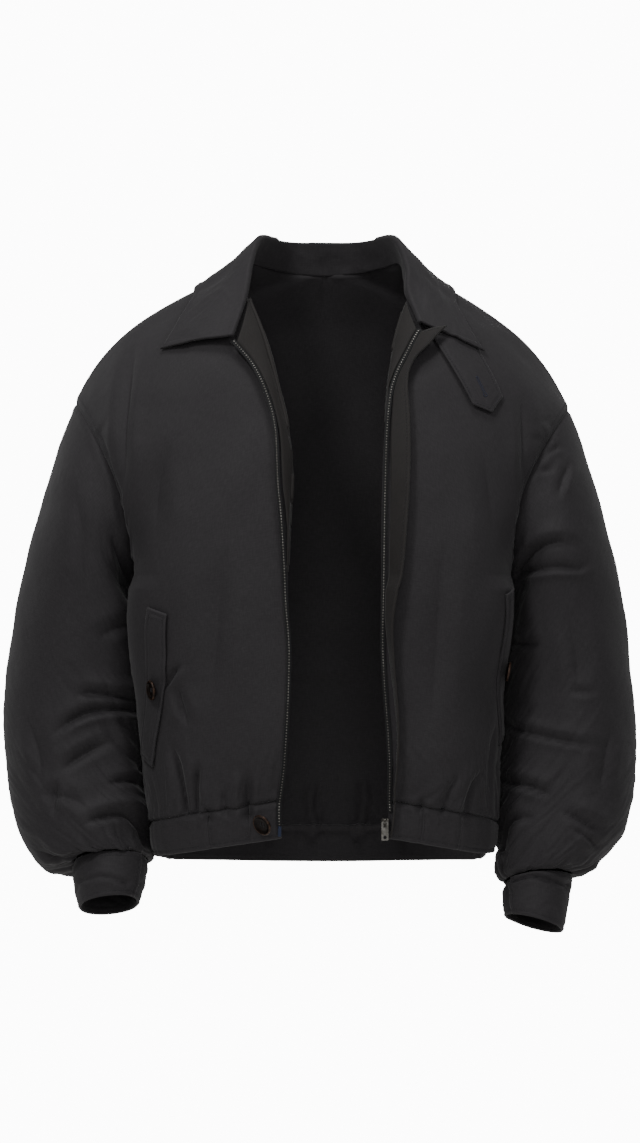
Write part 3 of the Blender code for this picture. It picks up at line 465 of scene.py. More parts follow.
ARM_BACK_CREASES = {
    RIGHT: [
        Crease([(-200, -350), (-225, -368), (-262, -372)], 9, 4.5, 2.0, 2.5, 1, 0),
        Crease([(-196, -420), (-232, -438), (-280, -436)], 9, 4.5, 2.0, 2.5, 1, 0),
        Crease([(-196, -470), (-226, -492), (-270, -505)], 8, 4.0, 2.0, 1.5, 1, 0),
        Crease([(-192, -520), (-215, -540), (-262, -548)], 8, 4.0, 1.5, 2.5, 1, 0),
        Crease([(-186, -570), (-214, -588), (-268, -592)], 8, 4.5, 1.5, 2.5, 1, 0),
        Crease([(-290, -300), (-302, -380), (-312, -440)], 14, 2.5, 1.5, 1.5),
        Crease([(-240, -610), (-262, -622), (-290, -620)], 7, 3.0, 1.5, 1.0),
    ],
    LEFT: [
        Crease([(200, -340), (232, -352), (268, -348)], 9, 4.5, 2.5, 2.0, 1, 0),
        Crease([(196, -402), (228, -425), (272, -430)], 9, 4.5, 2.5, 2.0, 1, 0),
        Crease([(194, -476), (230, -490), (284, -494)], 8, 4.0, 1.5, 2.0, 1, 0),
        Crease([(190, -532), (222, -548), (260, -545)], 8, 4.0, 2.5, 1.5, 1, 0),
        Crease([(184, -584), (216, -598), (262, -606)], 8, 4.5, 2.5, 1.5, 1, 0),
        Crease([(282, -310), (294, -380), (300, -450)], 14, 2.5, 1.5, 1.5),
    ],
}

BODY_CREASES = [
    # wearer's right front
    Crease([(-166, -452), (-158, -438), (-146, -420)], 6, 4.5, 1.0, 2.5),
    Crease([(-140, -490), (-149, -462), (-152, -440)], 7, 4.5, 2.5, 1.5),
    Crease([(-143, -575), (-150, -540), (-160, -500)], 7, 7.0, 1.5, 1.5, 1, 0),
    Crease([(-131, -574), (-132, -548), (-130, -520)], 6, 6.0, 1.5, 1.0, 1, 0),
    Crease([(-119, -582), (-126, -563)], 5, 2.5, 1.0, 1.0, 1, 0),
    Crease([(-78, -578), (-79, -556), (-77, -530)], 7, 5.0, 3.0, 1.5, 1, 0),
    Crease([(-101, -576), (-104, -560), (-102, -548)], 6, 2.0, 1.0, 1.0, 1, 0),
    Crease([(-206, -253), (-207, -179), (-201, -110), (-196, -74)], 9, 3.5, 2.0, 1.5),
    Crease([(-176, -300), (-172, -240), (-160, -190)], 16, 3.0, 2.0, 1.2),
    Crease([(-122, -500), (-112, -400), (-104, -290)], 20, 3.0, 2.0, 1.5),
    # wearer's left front
    Crease([(146, -574), (152, -552), (168, -528)], 6, 4.6, 1.2, 0.6, 1, 0),
    Crease([(170, -566), (176, -520), (180, -482)], 5, 5.5, 1.0, 0.5),
    Crease([(179, -560), (184, -525), (186, -490)], 5, 4.0, 1.0, 0.5),
    Crease([(120, -574), (126, -556), (138, -534)], 6, 3.6, 1.2, 0.6, 1, 0),
    Crease([(98, -572), (100, -556)], 5, 2.0, 1.0, 1.0, 1, 0),
    Crease([(204, -250), (206, -190), (202, -130)], 9, 2.5, 1.5, 1.5),
    Crease([(176, -330), (170, -250), (160, -190)], 18, 1.8, 1.2, 1.2),
    Crease([(108, -500), (116, -390), (122, -280)], 20, 3.0, 2.0, 1.5),
]

BACK_CREASES = [
    Crease([(-150, -590), (-142, -560), (-146, -530)], 8, 4.0, 2.0, 2.0, 1, 0),
    Crease([(-104, -602), (-98, -572), (-103, -548)], 8, 3.5, 1.5, 2.0, 1, 0),
    Crease([(-58, -605), (-52, -570), (-55, -540)], 8, 3.5, 2.0, 1.5, 1, 0),
    Crease([(-12, -606), (-16, -575), (-8, -552)], 7, 3.0, 1.5, 1.5, 1, 0),
    Crease([(38, -606), (44, -578), (40, -545)], 8, 3.5, 2.0, 1.5, 1, 0),
    Crease([(86, -604), (80, -570), (88, -536)], 8, 3.5, 1.5, 2.0, 1, 0),
    Crease([(132, -596), (138, -566), (132, -540)], 8, 4.0, 2.0, 2.0, 1, 0),
    Crease([(-196, -330), (-160, -300), (-120, -292)], 11, 4.0, 2.0, 2.0, 1, 0),
    Crease([(-190, -376), (-156, -362), (-118, -366)], 10, 3.0, 1.5, 1.5, 1, 0),
    Crease([(118, -300), (156, -306), (196, -334)], 11, 4.0, 2.0, 2.0, 0, 1),
    Crease([(122, -372), (158, -366), (190, -380)], 10, 3.0, 1.5, 1.5, 0, 1),
    Crease([(-170, -230), (-150, -170), (-140, -110)], 16, 3.0, 2.0, 1.5),
    Crease([(140, -110), (152, -170), (172, -230)], 16, 3.0, 1.5, 2.0),
    Crease([(-60, -420), (-20, -440), (40, -430)], 18, 2.0, 1.5, 1.5),
    Crease([(-30, -500), (30, -512), (90, -500)], 14, 2.0, 1.2, 1.2),
]

CUFF_CREASES = {
    RIGHT: [Crease([(-252, -650), (-228, -645), (-206, -652)], 4, 1.8, 0.8, 0.6, 1, 1)],
    LEFT: [Crease([(197, -651), (217, -645), (254, -656)], 4, 3.6, 1.6, 0.8, 1, 1)],
}

COLLAR_CREASES = [
    Crease([(100, -26), (116, -42), (130, -58)], 13, 1.6, 0.4, 0.4),
    Crease([(-128, -30), (-112, -44), (-98, -62)], 8, 1.8, 1.0, 1.0),
]

# Each crease is deeper and tighter than its table says by these. Its upper side is the gentler, by the third.
FOLD_STRENGTH, FOLD_TIGHTNESS, FOLD_SLOPE = 1.5, 0.62, 1.25
FOLD_FADE = 0.4             # the share of its length over which a crease fades out

# Soft unevenness of thinly filled cloth: the size of its swells, and how high they are.
SWELLS = [(120.0, 3.0), (52.0, 1.7), (21.0, 0.35)]


def ease(value, low, high):
    """0 below low and 1 above high, with a soft turn between them."""
    share = np.clip((value - low) / (high - low), 0.0, 1.0)
    return share * share * (3 - 2 * share)


def bell(away, width, power=2.0):
    """1 where away is 0, falling off over a width."""
    return np.exp(-(np.abs(away) / width) ** power)


def unit(vectors):
    """Vectors brought to length 1."""
    return vectors / np.maximum(np.linalg.norm(vectors, axis=-1, keepdims=True), 1e-12)


def through(points, steps):
    """Points on a smooth curve through the given ones, steps to each stretch."""
    points = np.asarray(points, dtype=float)
    before = np.vstack([2 * points[:1] - points[1:2], points[:-1]])[:-1]
    after = np.vstack([points[1:], 2 * points[-1:] - points[-2:-1]])[1:]
    share = (np.arange(steps) / steps)[None, :, None]
    a, b, before, after = (array[:, None, :] for array in (points[:-1], points[1:], before, after))
    curve = 0.5 * (2 * a + (b - before) * share + (2 * before - 5 * a + 4 * b - after) * share ** 2
                   + (3 * a - before - 3 * b + after) * share ** 3)
    return np.vstack([curve.reshape(-1, points.shape[-1]), points[-1:]])


def crease_lift(grid, normals, creases, facing):
    """How far creases move a grid out, in millimetres, on the side of the jacket that facing names."""
    lift = np.zeros(grid.shape[:-1]).ravel()
    x, z = (grid[..., k].ravel() / MM for k in (0, 2))
    seen = ease(facing * normals[..., 1].ravel(), 0.0, 0.4)
    for crease in creases:
        line = through(crease.line, 5)
        starts, runs = line[:-1], np.diff(line, axis=0)
        lengths = np.hypot(*runs.T)
        before = np.concatenate([[0.0], np.cumsum(lengths)[:-1]])
        reach = crease.width * 4.5
        low, high = line.min(axis=0) - reach, line.max(axis=0) + reach
        near = np.nonzero((seen > 0) & (x > low[0]) & (x < high[0]) & (z > low[1]) & (z < high[1]))[0]
        if not len(near):
            continue
        dx, dz = x[near, None] - starts[:, 0], z[near, None] - starts[:, 1]
        along = np.clip((dx * runs[:, 0] + dz * runs[:, 1]) / lengths ** 2, 0, 1)
        ox, oz = dx - along * runs[:, 0], dz - along * runs[:, 1]
        away = np.hypot(ox, oz)
        nearest = np.argmin(away, axis=1)
        rows = np.arange(len(near))
        turn = runs[nearest, 0] * oz[rows, nearest] - runs[nearest, 1] * ox[rows, nearest]
        above = turn * (line[-1, 0] - line[0, 0]) > 0
        offset = away[rows, nearest] * np.sign(turn) / (crease.width * FOLD_TIGHTNESS)
        offset /= np.where(above, FOLD_SLOPE, 1 / FOLD_SLOPE)
        share = (before[nearest] + along[rows, nearest] * lengths[nearest]) / lengths.sum()
        fade = (crease.start + (1 - crease.start) * ease(share, 0.0, FOLD_FADE)) * (
            crease.end + (1 - crease.end) * ease(1 - share, 0.0, FOLD_FADE))
        shape = (-crease.depth * np.exp(-1.3 * np.abs(offset) ** 1.15)
                 + crease.left * bell(offset - 2.2, 1.5, 1.5) + crease.right * bell(offset + 2.2, 1.5, 1.5))
        lift[near] += shape * fade * seen[near] * FOLD_STRENGTH
    return lift.reshape(grid.shape[:-1])


def noise_at(*spot):
    """Soft noise at arrays of X, Y and Z, or of one and numbers that stand for the others."""
    spot = np.stack(np.broadcast_arrays(*spot), axis=-1)
    return np.array([noise.noise(place) for place in spot.reshape(-1, 3)]).reshape(spot.shape[:-1])


def rumple(grid, strength=1.0):
    """Swells in the cloth, in millimetres. They depend on place alone, so pieces that meet move alike."""
    x, y, z = np.moveaxis(grid, -1, 0)
    return sum(height * strength * noise_at(*(axis / (size * MM) for axis in (x, y, z))) for size, height in SWELLS)


# Small puffs of the cloth: how high they are, and their size along the creases between them and across them.
HEM_PUFFS, ARMHOLE_PUFFS = (3.4, 80.0, 17.0), (4.4, 60.0, 26.0)
SLEEVE_PUFFS, SLEEVE_WRINKLES = (5.0, 95.0, 26.0), (1.6, 46.0, 13.0)
COLLAR_PUFFS, CUFF_PUFFS = (2.0, 50.0, 34.0), (2.0, 46.0, 14.0)


def crumple(u, v, puffs, seed):
    """Puffs parted by thin creases that wander along u over a surface, 0 in the creases: all in millimetres."""
    height, wide, tall = puffs
    bent = v + 0.5 * wide * noise_at(u / wide, v / wide, seed + 5.0)
    large = noise_at(u / wide, bent / tall, seed)
    small = noise_at(u / wide * 1.9, bent / tall * 2.2, seed + 9.0)
    return height * (np.abs(large) ** 0.75 + 0.45 * np.abs(small) ** 0.75 - 0.42)


def hem_pucker(grid):
    """Gathers along the hem seam: they hang on place alone, so band and panels share them."""
    around = np.arctan2(grid[..., 1], grid[..., 0]) * 160.0
    return noise_at(around / 13.0, 7.3, 1.9) + 0.6 * noise_at(around / 5.5, 3.1, 0.4)


def seam_dip(away, depth=1.2, width=2.4):
    """The groove where a piece is sewn to the next, with the cloth standing a little proud beside it."""
    return -depth * bell(away, width) + 0.45 * depth * bell(away - 3 * width, 1.7 * width)


def sewn_edge(away, inset, depth=0.8, width=1.4, rounding=1.0):
    """A line of topstitching pressed in beside an edge, and the edge itself rounded off."""
    return -depth * bell(away - inset, width) - rounding * bell(away, 0.9)


# ---------------------------------------------------------------- grids of cloth


def grid_normals(grid, closed=False):
    """Unit normals of a grid of points."""
    if closed:
        wide = np.concatenate([grid[:, -2:-1], grid, grid[:, 1:2]], axis=1)
        du = wide[:, 2:] - wide[:, :-2]
    else:
        du = np.gradient(grid, axis=1)
    return unit(np.cross(du, np.gradient(grid, axis=0)))


def arcs(grid):
    """Distances along the rows and along the columns of a grid, in millimetres."""
    across = np.cumsum(np.linalg.norm(np.diff(grid, axis=1, prepend=grid[:, :1]), axis=2), axis=1) / MM
    along = np.cumsum(np.linalg.norm(np.diff(grid, axis=0, prepend=grid[:1]), axis=2), axis=0) / MM
    return across, along


def from_border(grid, closed=False):
    """How far the points of a grid lie from its border, in millimetres."""
    across, along = arcs(grid)
    ways = [along, along[-1:] - along] + ([] if closed else [across, across[:, -1:] - across])
    return np.minimum.reduce(ways)


def raised(grid, normals, lift):
    """A grid moved out along its normals by a lift in millimetres."""
    return grid + normals * (lift * MM)[..., None]


def bezier_rows(side, forward, stations, across):
    """Points of a front or back half, a row to each station."""
    return np.array([section(side, forward, station, np.asarray(across)[:, None]) for station in stations])


def ring_rows(side, rows, angles, inward=0.0):
    """Points of a sleeve or cuff, a row to each section, drawn inward by millimetres."""
    forward, turn = np.sin(angles), np.cos(angles)
    made = []
    for row in rows:
        reach = np.where(forward > 0, row.front, row.back) - inward
        wide, tall = row.top_out - row.low_out - 2 * inward, row.top_z - row.low_z
        out = (row.top_out + row.low_out + turn * wide) / 2 - row.hollow * forward ** 2
        z = (row.top_z + row.low_z + turn * tall) / 2 + forward * row.lift
        made.append(np.stack([side * out, row.middle_y - forward * reach, z], axis=1))
    return np.array(made) * MM


# How much lower edge the hem band turns under beside each side seam, as a share of its height.
TURNED_UNDER = {RIGHT: 0.12, LEFT: 0.24}


def band_rows(side, forward, across, drops):
    """Points of the hem band, a row to each drop below its seam."""
    low = ease(across, 0.40, 0.95) if forward else ease(across, 0.72, 1.0)
    under = (1 - TURNED_UNDER[side] * low)[:, None]
    seam = bezier_rows(side, forward, [0.0], across)[0]
    outward = unit(seam * (1, 1, 0))
    return np.array([seam + outward * band_fill(drop) * MM - under * (0, 0, BAND_HEIGHT * drop * MM)
                     for drop in drops])


def spline_grid(grid, along, across):
    """A finer grid on a smooth surface through the points of a coarse one."""
    grid = np.asarray(grid, dtype=float)
    rows = through(grid.reshape(len(grid), -1), along).reshape(-1, *grid.shape[1:])
    columns = through(rows.transpose(1, 0, 2).reshape(grid.shape[1], -1), across)
    return columns.reshape(-1, len(rows), 3).transpose(1, 0, 2)


def run_lengths(line):
    """How far along a line each of its points lies."""
    return np.concatenate([[0.0], np.cumsum(np.linalg.norm(np.diff(line, axis=0), axis=1))])


def on_line(line, lengths, at):
    """What a line holds at a length along it."""
    return Vector([np.interp(at, lengths, line[:, k]) for k in range(3)])


def cut_line(line, start, end):
    """The stretch of a line between two shares of its length."""
    lengths = run_lengths(line)
    lengths /= lengths[-1]
    shares = np.linspace(start, end, max(3, int(len(line) * (end - start)) + 2))
    return np.stack([np.interp(shares, lengths, line[:, k]) for k in range(3)], axis=1)


def along_border(values, grid, border, offset):
    """What values hold along the line that runs a distance in millimetres inside a border of a grid."""
    def turned(array):
        return {"start": array, "end": array[:, ::-1], "foot": array.transpose(1, 0, 2),
                "head": array[::-1].transpose(1, 0, 2)}[border]

    across, _ = arcs(turned(grid))
    return np.array([[np.interp(offset, distances, row[:, k]) for k in range(3)]
                     for row, distances in zip(turned(values), across)])


# ---------------------------------------------------------------- materials


def linear(hexed):
    """A colour in linear light from an sRGB hex value."""
    values = [int(hexed[i:i + 2], 16) / 255 for i in (0, 2, 4)]
    return tuple(v / 12.92 if v <= 0.04045 else ((v + 0.055) / 1.055) ** 2.4 for v in values)


def add_node(tree, kind, inputs=None, **settings):
    """Add a node with its settings; an input that is given another node's output is linked to it."""
    made = tree.nodes.new(kind)
    for name, value in settings.items():
        setattr(made, name, value)
    for name, value in (inputs or {}).items():
        if isinstance(value, bpy.types.NodeSocket):
            tree.links.new(value, made.inputs[name])
        else:
            made.inputs[name].default_value = value
    return made


def coordinate(tree, kind):
    """A texture coordinate: UV, or Object for the piece's own axes."""
    return add_node(tree, "ShaderNodeTexCoord").outputs[kind]


def stretched(tree, vector, scale):
    """A coordinate scaled along its axes."""
    return add_node(tree, "ShaderNodeMapping", {"Vector": vector, "Scale": scale}).outputs["Vector"]


def mottle(tree, vector, scale, detail=3.0, **more):
    """The value of a noise."""
    return add_node(tree, "ShaderNodeTexNoise",
                    {"Vector": vector, "Scale": scale, "Detail": detail, **more}).outputs["Fac"]


def remap(tree, value, low, high, to_low=0.0, to_high=1.0):
    """A value's range brought to another."""
    return add_node(tree, "ShaderNodeMapRange", {"Value": value, "From Min": low, "From Max": high,
                                                 "To Min": to_low, "To Max": to_high}).outputs["Result"]


def combine(tree, operation, *values):
    """A sum, product or the like of values."""
    return add_node(tree, "ShaderNodeMath", dict(enumerate(values)), operation=operation).outputs[0]


def blend(tree, share, first, second):
    """A colour between two, each one a node's output or red, green and blue."""
    first, second = (colour if isinstance(colour, bpy.types.NodeSocket) else (*colour, 1.0)
                     for colour in (first, second))
    return add_node(tree, "ShaderNodeMix", {"Factor": share, "A": first, "B": second},
                    data_type="RGBA").outputs["Result"]


def relief(tree, height, strength, distance, **under):
    """A bump of a distance in millimetres, over the one whose normal is given."""
    return add_node(tree, "ShaderNodeBump", {"Height": height, "Strength": strength, "Distance": distance * MM,
                                             **under}).outputs["Normal"]


def new_material(name):
    """An empty material and its nodes' tree."""
    material = bpy.data.materials.new(name)
    material.use_nodes = True
    material.node_tree.nodes.clear()
    return material, material.node_tree


def surface(tree, inputs):
    """Close a material with its shader."""
    shader = add_node(tree, "ShaderNodeBsdfPrincipled", inputs)
    add_node(tree, "ShaderNodeOutputMaterial", {"Surface": shader.outputs["BSDF"]})


def woven(name, colour, tint, roughness=0.72, pitch=1.1):
    """Plain-woven cotton and polyester, dyed through: matt, with a faint sheen where it turns away.

    The real threads stand about 0.35 mm apart. They are drawn pitch millimetres apart, so that they show.
    """
    _, tree = new_material(name)
    uv, spot = coordinate(tree, "UV"), coordinate(tree, "Object")
    ribs = [add_node(tree, "ShaderNodeTexWave", {"Vector": uv, "Scale": 2 * pi / (20 * pitch * MM),
                                                 "Distortion": 0.6, "Detail": 1.0},
                     bands_direction=way).outputs["Fac"] for way in "XY"]
    weave = combine(tree, "ABSOLUTE", combine(tree, "SUBTRACT", *ribs))
    slubs = [mottle(tree, stretched(tree, uv, scale), 900.0) for scale in ((1.0, 0.16, 1.0), (0.16, 1.0, 1.0))]
    threads = combine(tree, "MULTIPLY", combine(tree, "ADD", *slubs), 0.5)
    crinkle, cloud = mottle(tree, spot, 60.0, Roughness=0.55), mottle(tree, spot, 14.0)
    # The attribute edge fades out the rubbed tone within 3.5 mm of a piece's border.
    edge = add_node(tree, "ShaderNodeAttribute", attribute_name="edge").outputs["Fac"]
    rubbed = combine(tree, "MULTIPLY", remap(tree, edge, 0.0, 3.5 * MM, 0.34, 0.0), crinkle)
    shades = blend(tree, cloud, [c * 0.86 for c in colour], [c * 1.14 for c in colour])
    specks = blend(tree, remap(tree, threads, 0.40, 0.66, 0.0, 0.55), shades, tint)
    worn = blend(tree, rubbed, specks, [min(1.0, c * 1.9 + 0.006) for c in colour])
    bump = relief(tree, crinkle, 0.35, 1.2)
    bump = relief(tree, threads, 0.25, 0.3, Normal=bump)
    bump = relief(tree, weave, 0.22, 0.25, Normal=bump)
    surface(tree, {"Base Color": worn, "Normal": bump, "Sheen Weight": 0.06, "Sheen Roughness": 0.45,
                   "Roughness": remap(tree, cloud, 0.3, 0.7, roughness - 0.05, roughness + 0.05),
                   "Specular IOR Level": 0.22})


def hard(name, colour, second, roughness, metallic=0.0, scale=120.0, specular=0.28, stretch=(1, 1, 1)):
    """A hard finish with clouded colour, uneven gloss and fine scratches."""
    _, tree = new_material(name)
    spot = stretched(tree, coordinate(tree, "Object"), stretch)
    marks = mottle(tree, spot, scale * 14, 2.0)
    share = remap(tree, mottle(tree, spot, scale, 4.0), 0.38, 0.66)
    surface(tree, {"Base Color": blend(tree, share, colour, second), "Metallic": metallic,
                   "Roughness": remap(tree, marks, 0.3, 0.7, max(0.05, roughness - 0.08), roughness + 0.12),
                   "Specular IOR Level": specular, "Normal": relief(tree, marks, 0.15, 0.1)})


def finishes():
    """Every finish of the jacket, made once."""
    if CLOTH not in bpy.data.materials:
        c = bpy.context.scene.jacket_colours
        # Dense plain weave, dyed black and washed a little grey.
        woven(CLOTH, c.cloth, c.cloth_thread)
        # The cloth's inner side, less washed and warmer.
        woven(INNER_CLOTH, c.under, c.under_thread)
        # Narrow-woven polyester tape, closer and a little smoother.
        woven("Woven zip tape", c.tape, c.under, roughness=0.7, pitch=0.9)
        # Spun polyester sewing thread, two-ply: a little glossier than the cloth.
        hard("Black sewing thread", c.thread, c.thread, 0.5, scale=900.0)
        # The same in a thicker, bluer cord.
        hard("Blue-black buttonhole thread", c.buttonhole, c.buttonhole, 0.5, scale=900.0)
        # Dyed horn, turned and polished: dark brown with paler grain, glossy on its rim.
        hard("Polished dark horn", c.horn, c.horn_grain, 0.24, scale=160.0, specular=0.10, stretch=(1, 1, 4))
        # The button's raised rim is rubbed to a bronze tone.
        hard("Rubbed bronze rim", c.rim, c.horn_grain, 0.4, metallic=0.5, scale=260.0)
        # Nickel-plated zinc, cast and tumbled: bright where it is rubbed.
        hard("Nickel plate", c.nickel, c.nickel_dull, 0.42, metallic=1.0, scale=220.0)
        # The same plate left dull, with the dark of the casting showing in its hollows.
        hard("Dull nickel plate", c.nickel_dull, c.horn, 0.42, metallic=1.0, scale=420.0)
        # Moulded acetal, slightly translucent in life and blue-grey.
        hard("Blue moulded plastic", c.plastic, c.plastic, 0.4, scale=90.0)
    return bpy.data.materials


# ---------------------------------------------------------------- making pieces


def finish(name, bm, materials, smooth=True):
    """Make a bmesh an object of the jacket."""
    mesh = bpy.data.meshes.new(name)
    bm.to_mesh(mesh)
    bm.free()
    if smooth:
        mesh.shade_smooth()
    for material in materials:
        mesh.materials.append(material)
    piece = bpy.data.objects.new(name, mesh)
    bpy.context.scene.collection.objects.link(piece)
    return piece


def dress(piece, node, stands_in=True):
    """Let a piece ride on the jacket, and stand in for the node."""
    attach(piece, BODY)
    if stands_in:
        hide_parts(node)
    return piece


def cloth(node, grids, wall, flip=False, closed=False, edges=None, material=CLOTH):
    """A node's cloth, shaped by grids of points, with its wall on the inner side and its UV in metres.

    The attribute edge keeps how far each point is from the piece's border.
    """
    bm = bmesh.new()
    uv = bm.loops.layers.uv.new("UVMap")
    edge = bm.verts.layers.float.new("edge")
    for number, grid in enumerate(grids):
        rows, columns = grid.shape[:2]
        across, along = arcs(grid)
        flat_u, flat_v = across.mean(axis=0) * MM, along.mean(axis=1) * MM
        away = edges[number] if edges else from_border(grid, closed)
        fresh = bmesh.ops.create_grid(bm, x_segments=columns - 1, y_segments=rows - 1, size=0.5)["verts"]
        for vert in fresh:
            i, j = round((vert.co.x + 0.5) * (columns - 1)), round((vert.co.y + 0.5) * (rows - 1))
            vert[edge] = away[j, i] * MM
            vert.co = grid[j, i]
            for loop in vert.link_loops:
                loop[uv].uv = (flat_u[i] + number * 1.3 * flat_u[-1], flat_v[j])
    if closed or len(grids) > 1:
        bmesh.ops.remove_doubles(bm, verts=bm.verts, dist=0.05 * MM)
    if flip:
        bmesh.ops.reverse_faces(bm, faces=bm.faces)
    piece = finish(f"{node}_cloth", bm, [finishes()[material]])
    solid = piece.modifiers.new("Wall", "SOLIDIFY")
    solid.thickness = wall
    solid.offset = -1.0
    return dress(piece, node)


def stitch_run(bm, line, normals, length, gap, thread):
    """Add a row of stitches to a bmesh along a line, each half sunk in the cloth."""
    lengths = run_lengths(line)
    pitch = length + gap
    for number in range(int(lengths[-1] / pitch)):
        middle = (number + 0.5) * pitch
        start, end = (on_line(line, lengths, middle + shift) for shift in (-length / 2, length / 2))
        run = (end - start).normalized()
        if run.length < 0.5:
            continue
        aside = run.cross(on_line(normals, lengths, middle)).normalized()
        up = aside.cross(run)
        size = Matrix.Diagonal((length / 2, thread, thread * 0.7, 1.0))
        turn = Matrix((run, aside, up)).transposed().to_4x4()
        spot = Matrix.Translation((start + end) / 2 + up * 0.15 * thread)
        bmesh.ops.create_uvsphere(bm, u_segments=5, v_segments=3, radius=1.0,
                                  matrix=spot @ turn @ size @ Matrix.Rotation(pi / 2, 4, "Y"))


def sew(node, shaped, *rows):
    """Sew rows of stitches on a piece: (border, distance inside it, where it starts, where it ends).

    shaped holds the piece's grid and normals, or a pair of them to each row.
    """
    bm, sizes = bmesh.new(), bpy.context.scene.jacket_sizes
    for number, (border, offset, start, end) in enumerate(rows):
        grid, normals = shaped[number] if isinstance(shaped, list) else shaped
        line, outward = (cut_line(along_border(values, grid, border, offset), start, end)
                         for values in (grid, normals))
        stitch_run(bm, line, outward, sizes.stitch_length, sizes.stitch_gap, sizes.thread)
    dress(finish(f"{node}_stitching", bm, [finishes()["Black sewing thread"]]), node, stands_in=False)


# ---------------------------------------------------------------- the body

# Rows and columns of the grids. A panel's are those of a front (True) and of half the back (False).
PANEL_ROWS, PANEL_COLUMNS, NECKLINE_ROWS = {True: 200, False: 160}, {True: 136, False: 85}, 20
SLEEVE_ROWS, SLEEVE_FOOT_ROWS, SLEEVE_BACK_COLUMNS, SLEEVE_FRONT_COLUMNS = 178, 28, 85, 131
BAND_ROWS, CUFF_ROWS, CUFF_COLUMNS, FLY_ROWS, TAPE_ROWS = 26, 26, 150, 200, 260
FACING_ROWS = {RIGHT: 150, LEFT: 80}
FLAP_GRID, TAB_GRID = (110, 30), (70, 36)
PANEL_HEIGHT, PANEL_WIDTH = 620.0, 320.0    # of a panel laid flat, near enough to place its small creases
BACK_DRIFT = 900.0          # keeps the back's small creases from repeating the fronts'

# How far the fronts' sides fill out towards the sleeves that hang against them, by depth under the neck.
SIDE_DEPTHS = (332, 346, 375, 410, 450, 530, 580, 640)
SIDE_SWELLS = {RIGHT: (0.0, 4.6, 4.0, 2.0, 0.6, 0.4, 3.0, 4.5), LEFT: (0.0, 4.6, 3.0, -1.0, -4.0, -3.0, 1.5, 5.0)}
# How far the sleeves' inner sides fill out against the body, by the same depths.
ARM_DEPTHS = (338, 348, 400, 450, 520, 590, 640)
ARM_SWELLS = {RIGHT: (0.0, 6.6, 5.4, 4.0, 4.0, 4.4, 3.0), LEFT: (0.0, 8.0, 8.0, 9.0, 7.5, 4.0, -1.0)}
CUFF_SWELLS = {RIGHT: 0.5, LEFT: 4.5}

# Rows of topstitching, by how far they run inside an edge in millimetres.
ARMHOLE_STITCHES = (2.4, 8.4)
HEM_STITCHES, COLLAR_STITCHES, BAND_STITCHES, CUFF_STITCHES = 2.6, 5.2, 5.0, 5.0
FLAP_STITCHES, FLAP_SECOND, TAB_STITCHES, FLY_STITCHES = 4.2, 9.5, 4.4, 4.0


def shell_stations(forward):
    """Stations of the panel's rows, with one where its inner edge turns into the neckline."""
    turn = NECK_CORNER if forward else BACK_NECK
    return np.concatenate([np.linspace(0, turn, PANEL_ROWS[forward])[:-1], np.linspace(turn, 1, NECKLINE_ROWS)])


def body_lift(grid, normals):
    """The creases and swells of the body, wherever a piece lies on it.

    Its sides fill out towards the sleeves that hang against them.
    """
    depth = -grid[..., 2] / MM
    sides = ease(np.abs(normals[..., 0]), 0.40, 0.90) * (normals[..., 1] < 0.3)
    swell = np.where(grid[..., 0] < 0, *(np.interp(depth, SIDE_DEPTHS, SIDE_SWELLS[side]) for side in (RIGHT, LEFT)))
    return (crease_lift(grid, normals, BODY_CREASES, -1) + crease_lift(grid, normals, BACK_CREASES, 1)
            + rumple(grid) + sides * swell)


def body_crumple(side, forward, across, station):
    """The small creases over the hem band and beside the armhole."""
    across, station = np.broadcast_arrays(across, station)
    above, outer = np.maximum(station * PANEL_HEIGHT, 0.0), (1 - across) * PANEL_WIDTH
    apart = outer if forward else outer + BACK_DRIFT
    low = bell(above, 75.0, 1.6) * ease(above, 0.0, 10.0) * ease(outer, 0.0, 18.0)
    near = bell(outer, 50.0) * ease(outer, 2.0, 14.0) * ease(1 - station, 0.03, 0.14)
    lift = np.zeros(across.shape)
    for share, u, v, puffs, seed in ((low, above, apart, HEM_PUFFS, 3.0 + side),
                                     (near, apart, above, ARMHOLE_PUFFS, 9.0 + side)):
        spots = share > 0.02
        lift[spots] += share[spots] * crumple(u[spots], v[spots], puffs, seed)
    return lift


def relaxed(grid, share, rounds=160):
    """Even out a grid along its columns, by a share at each point."""
    grid = grid.copy()
    for _ in range(rounds):
        grid[1:-1] += share[1:-1] * ((grid[:-2] + grid[2:]) / 2 - grid[1:-1]) / 2
    return grid


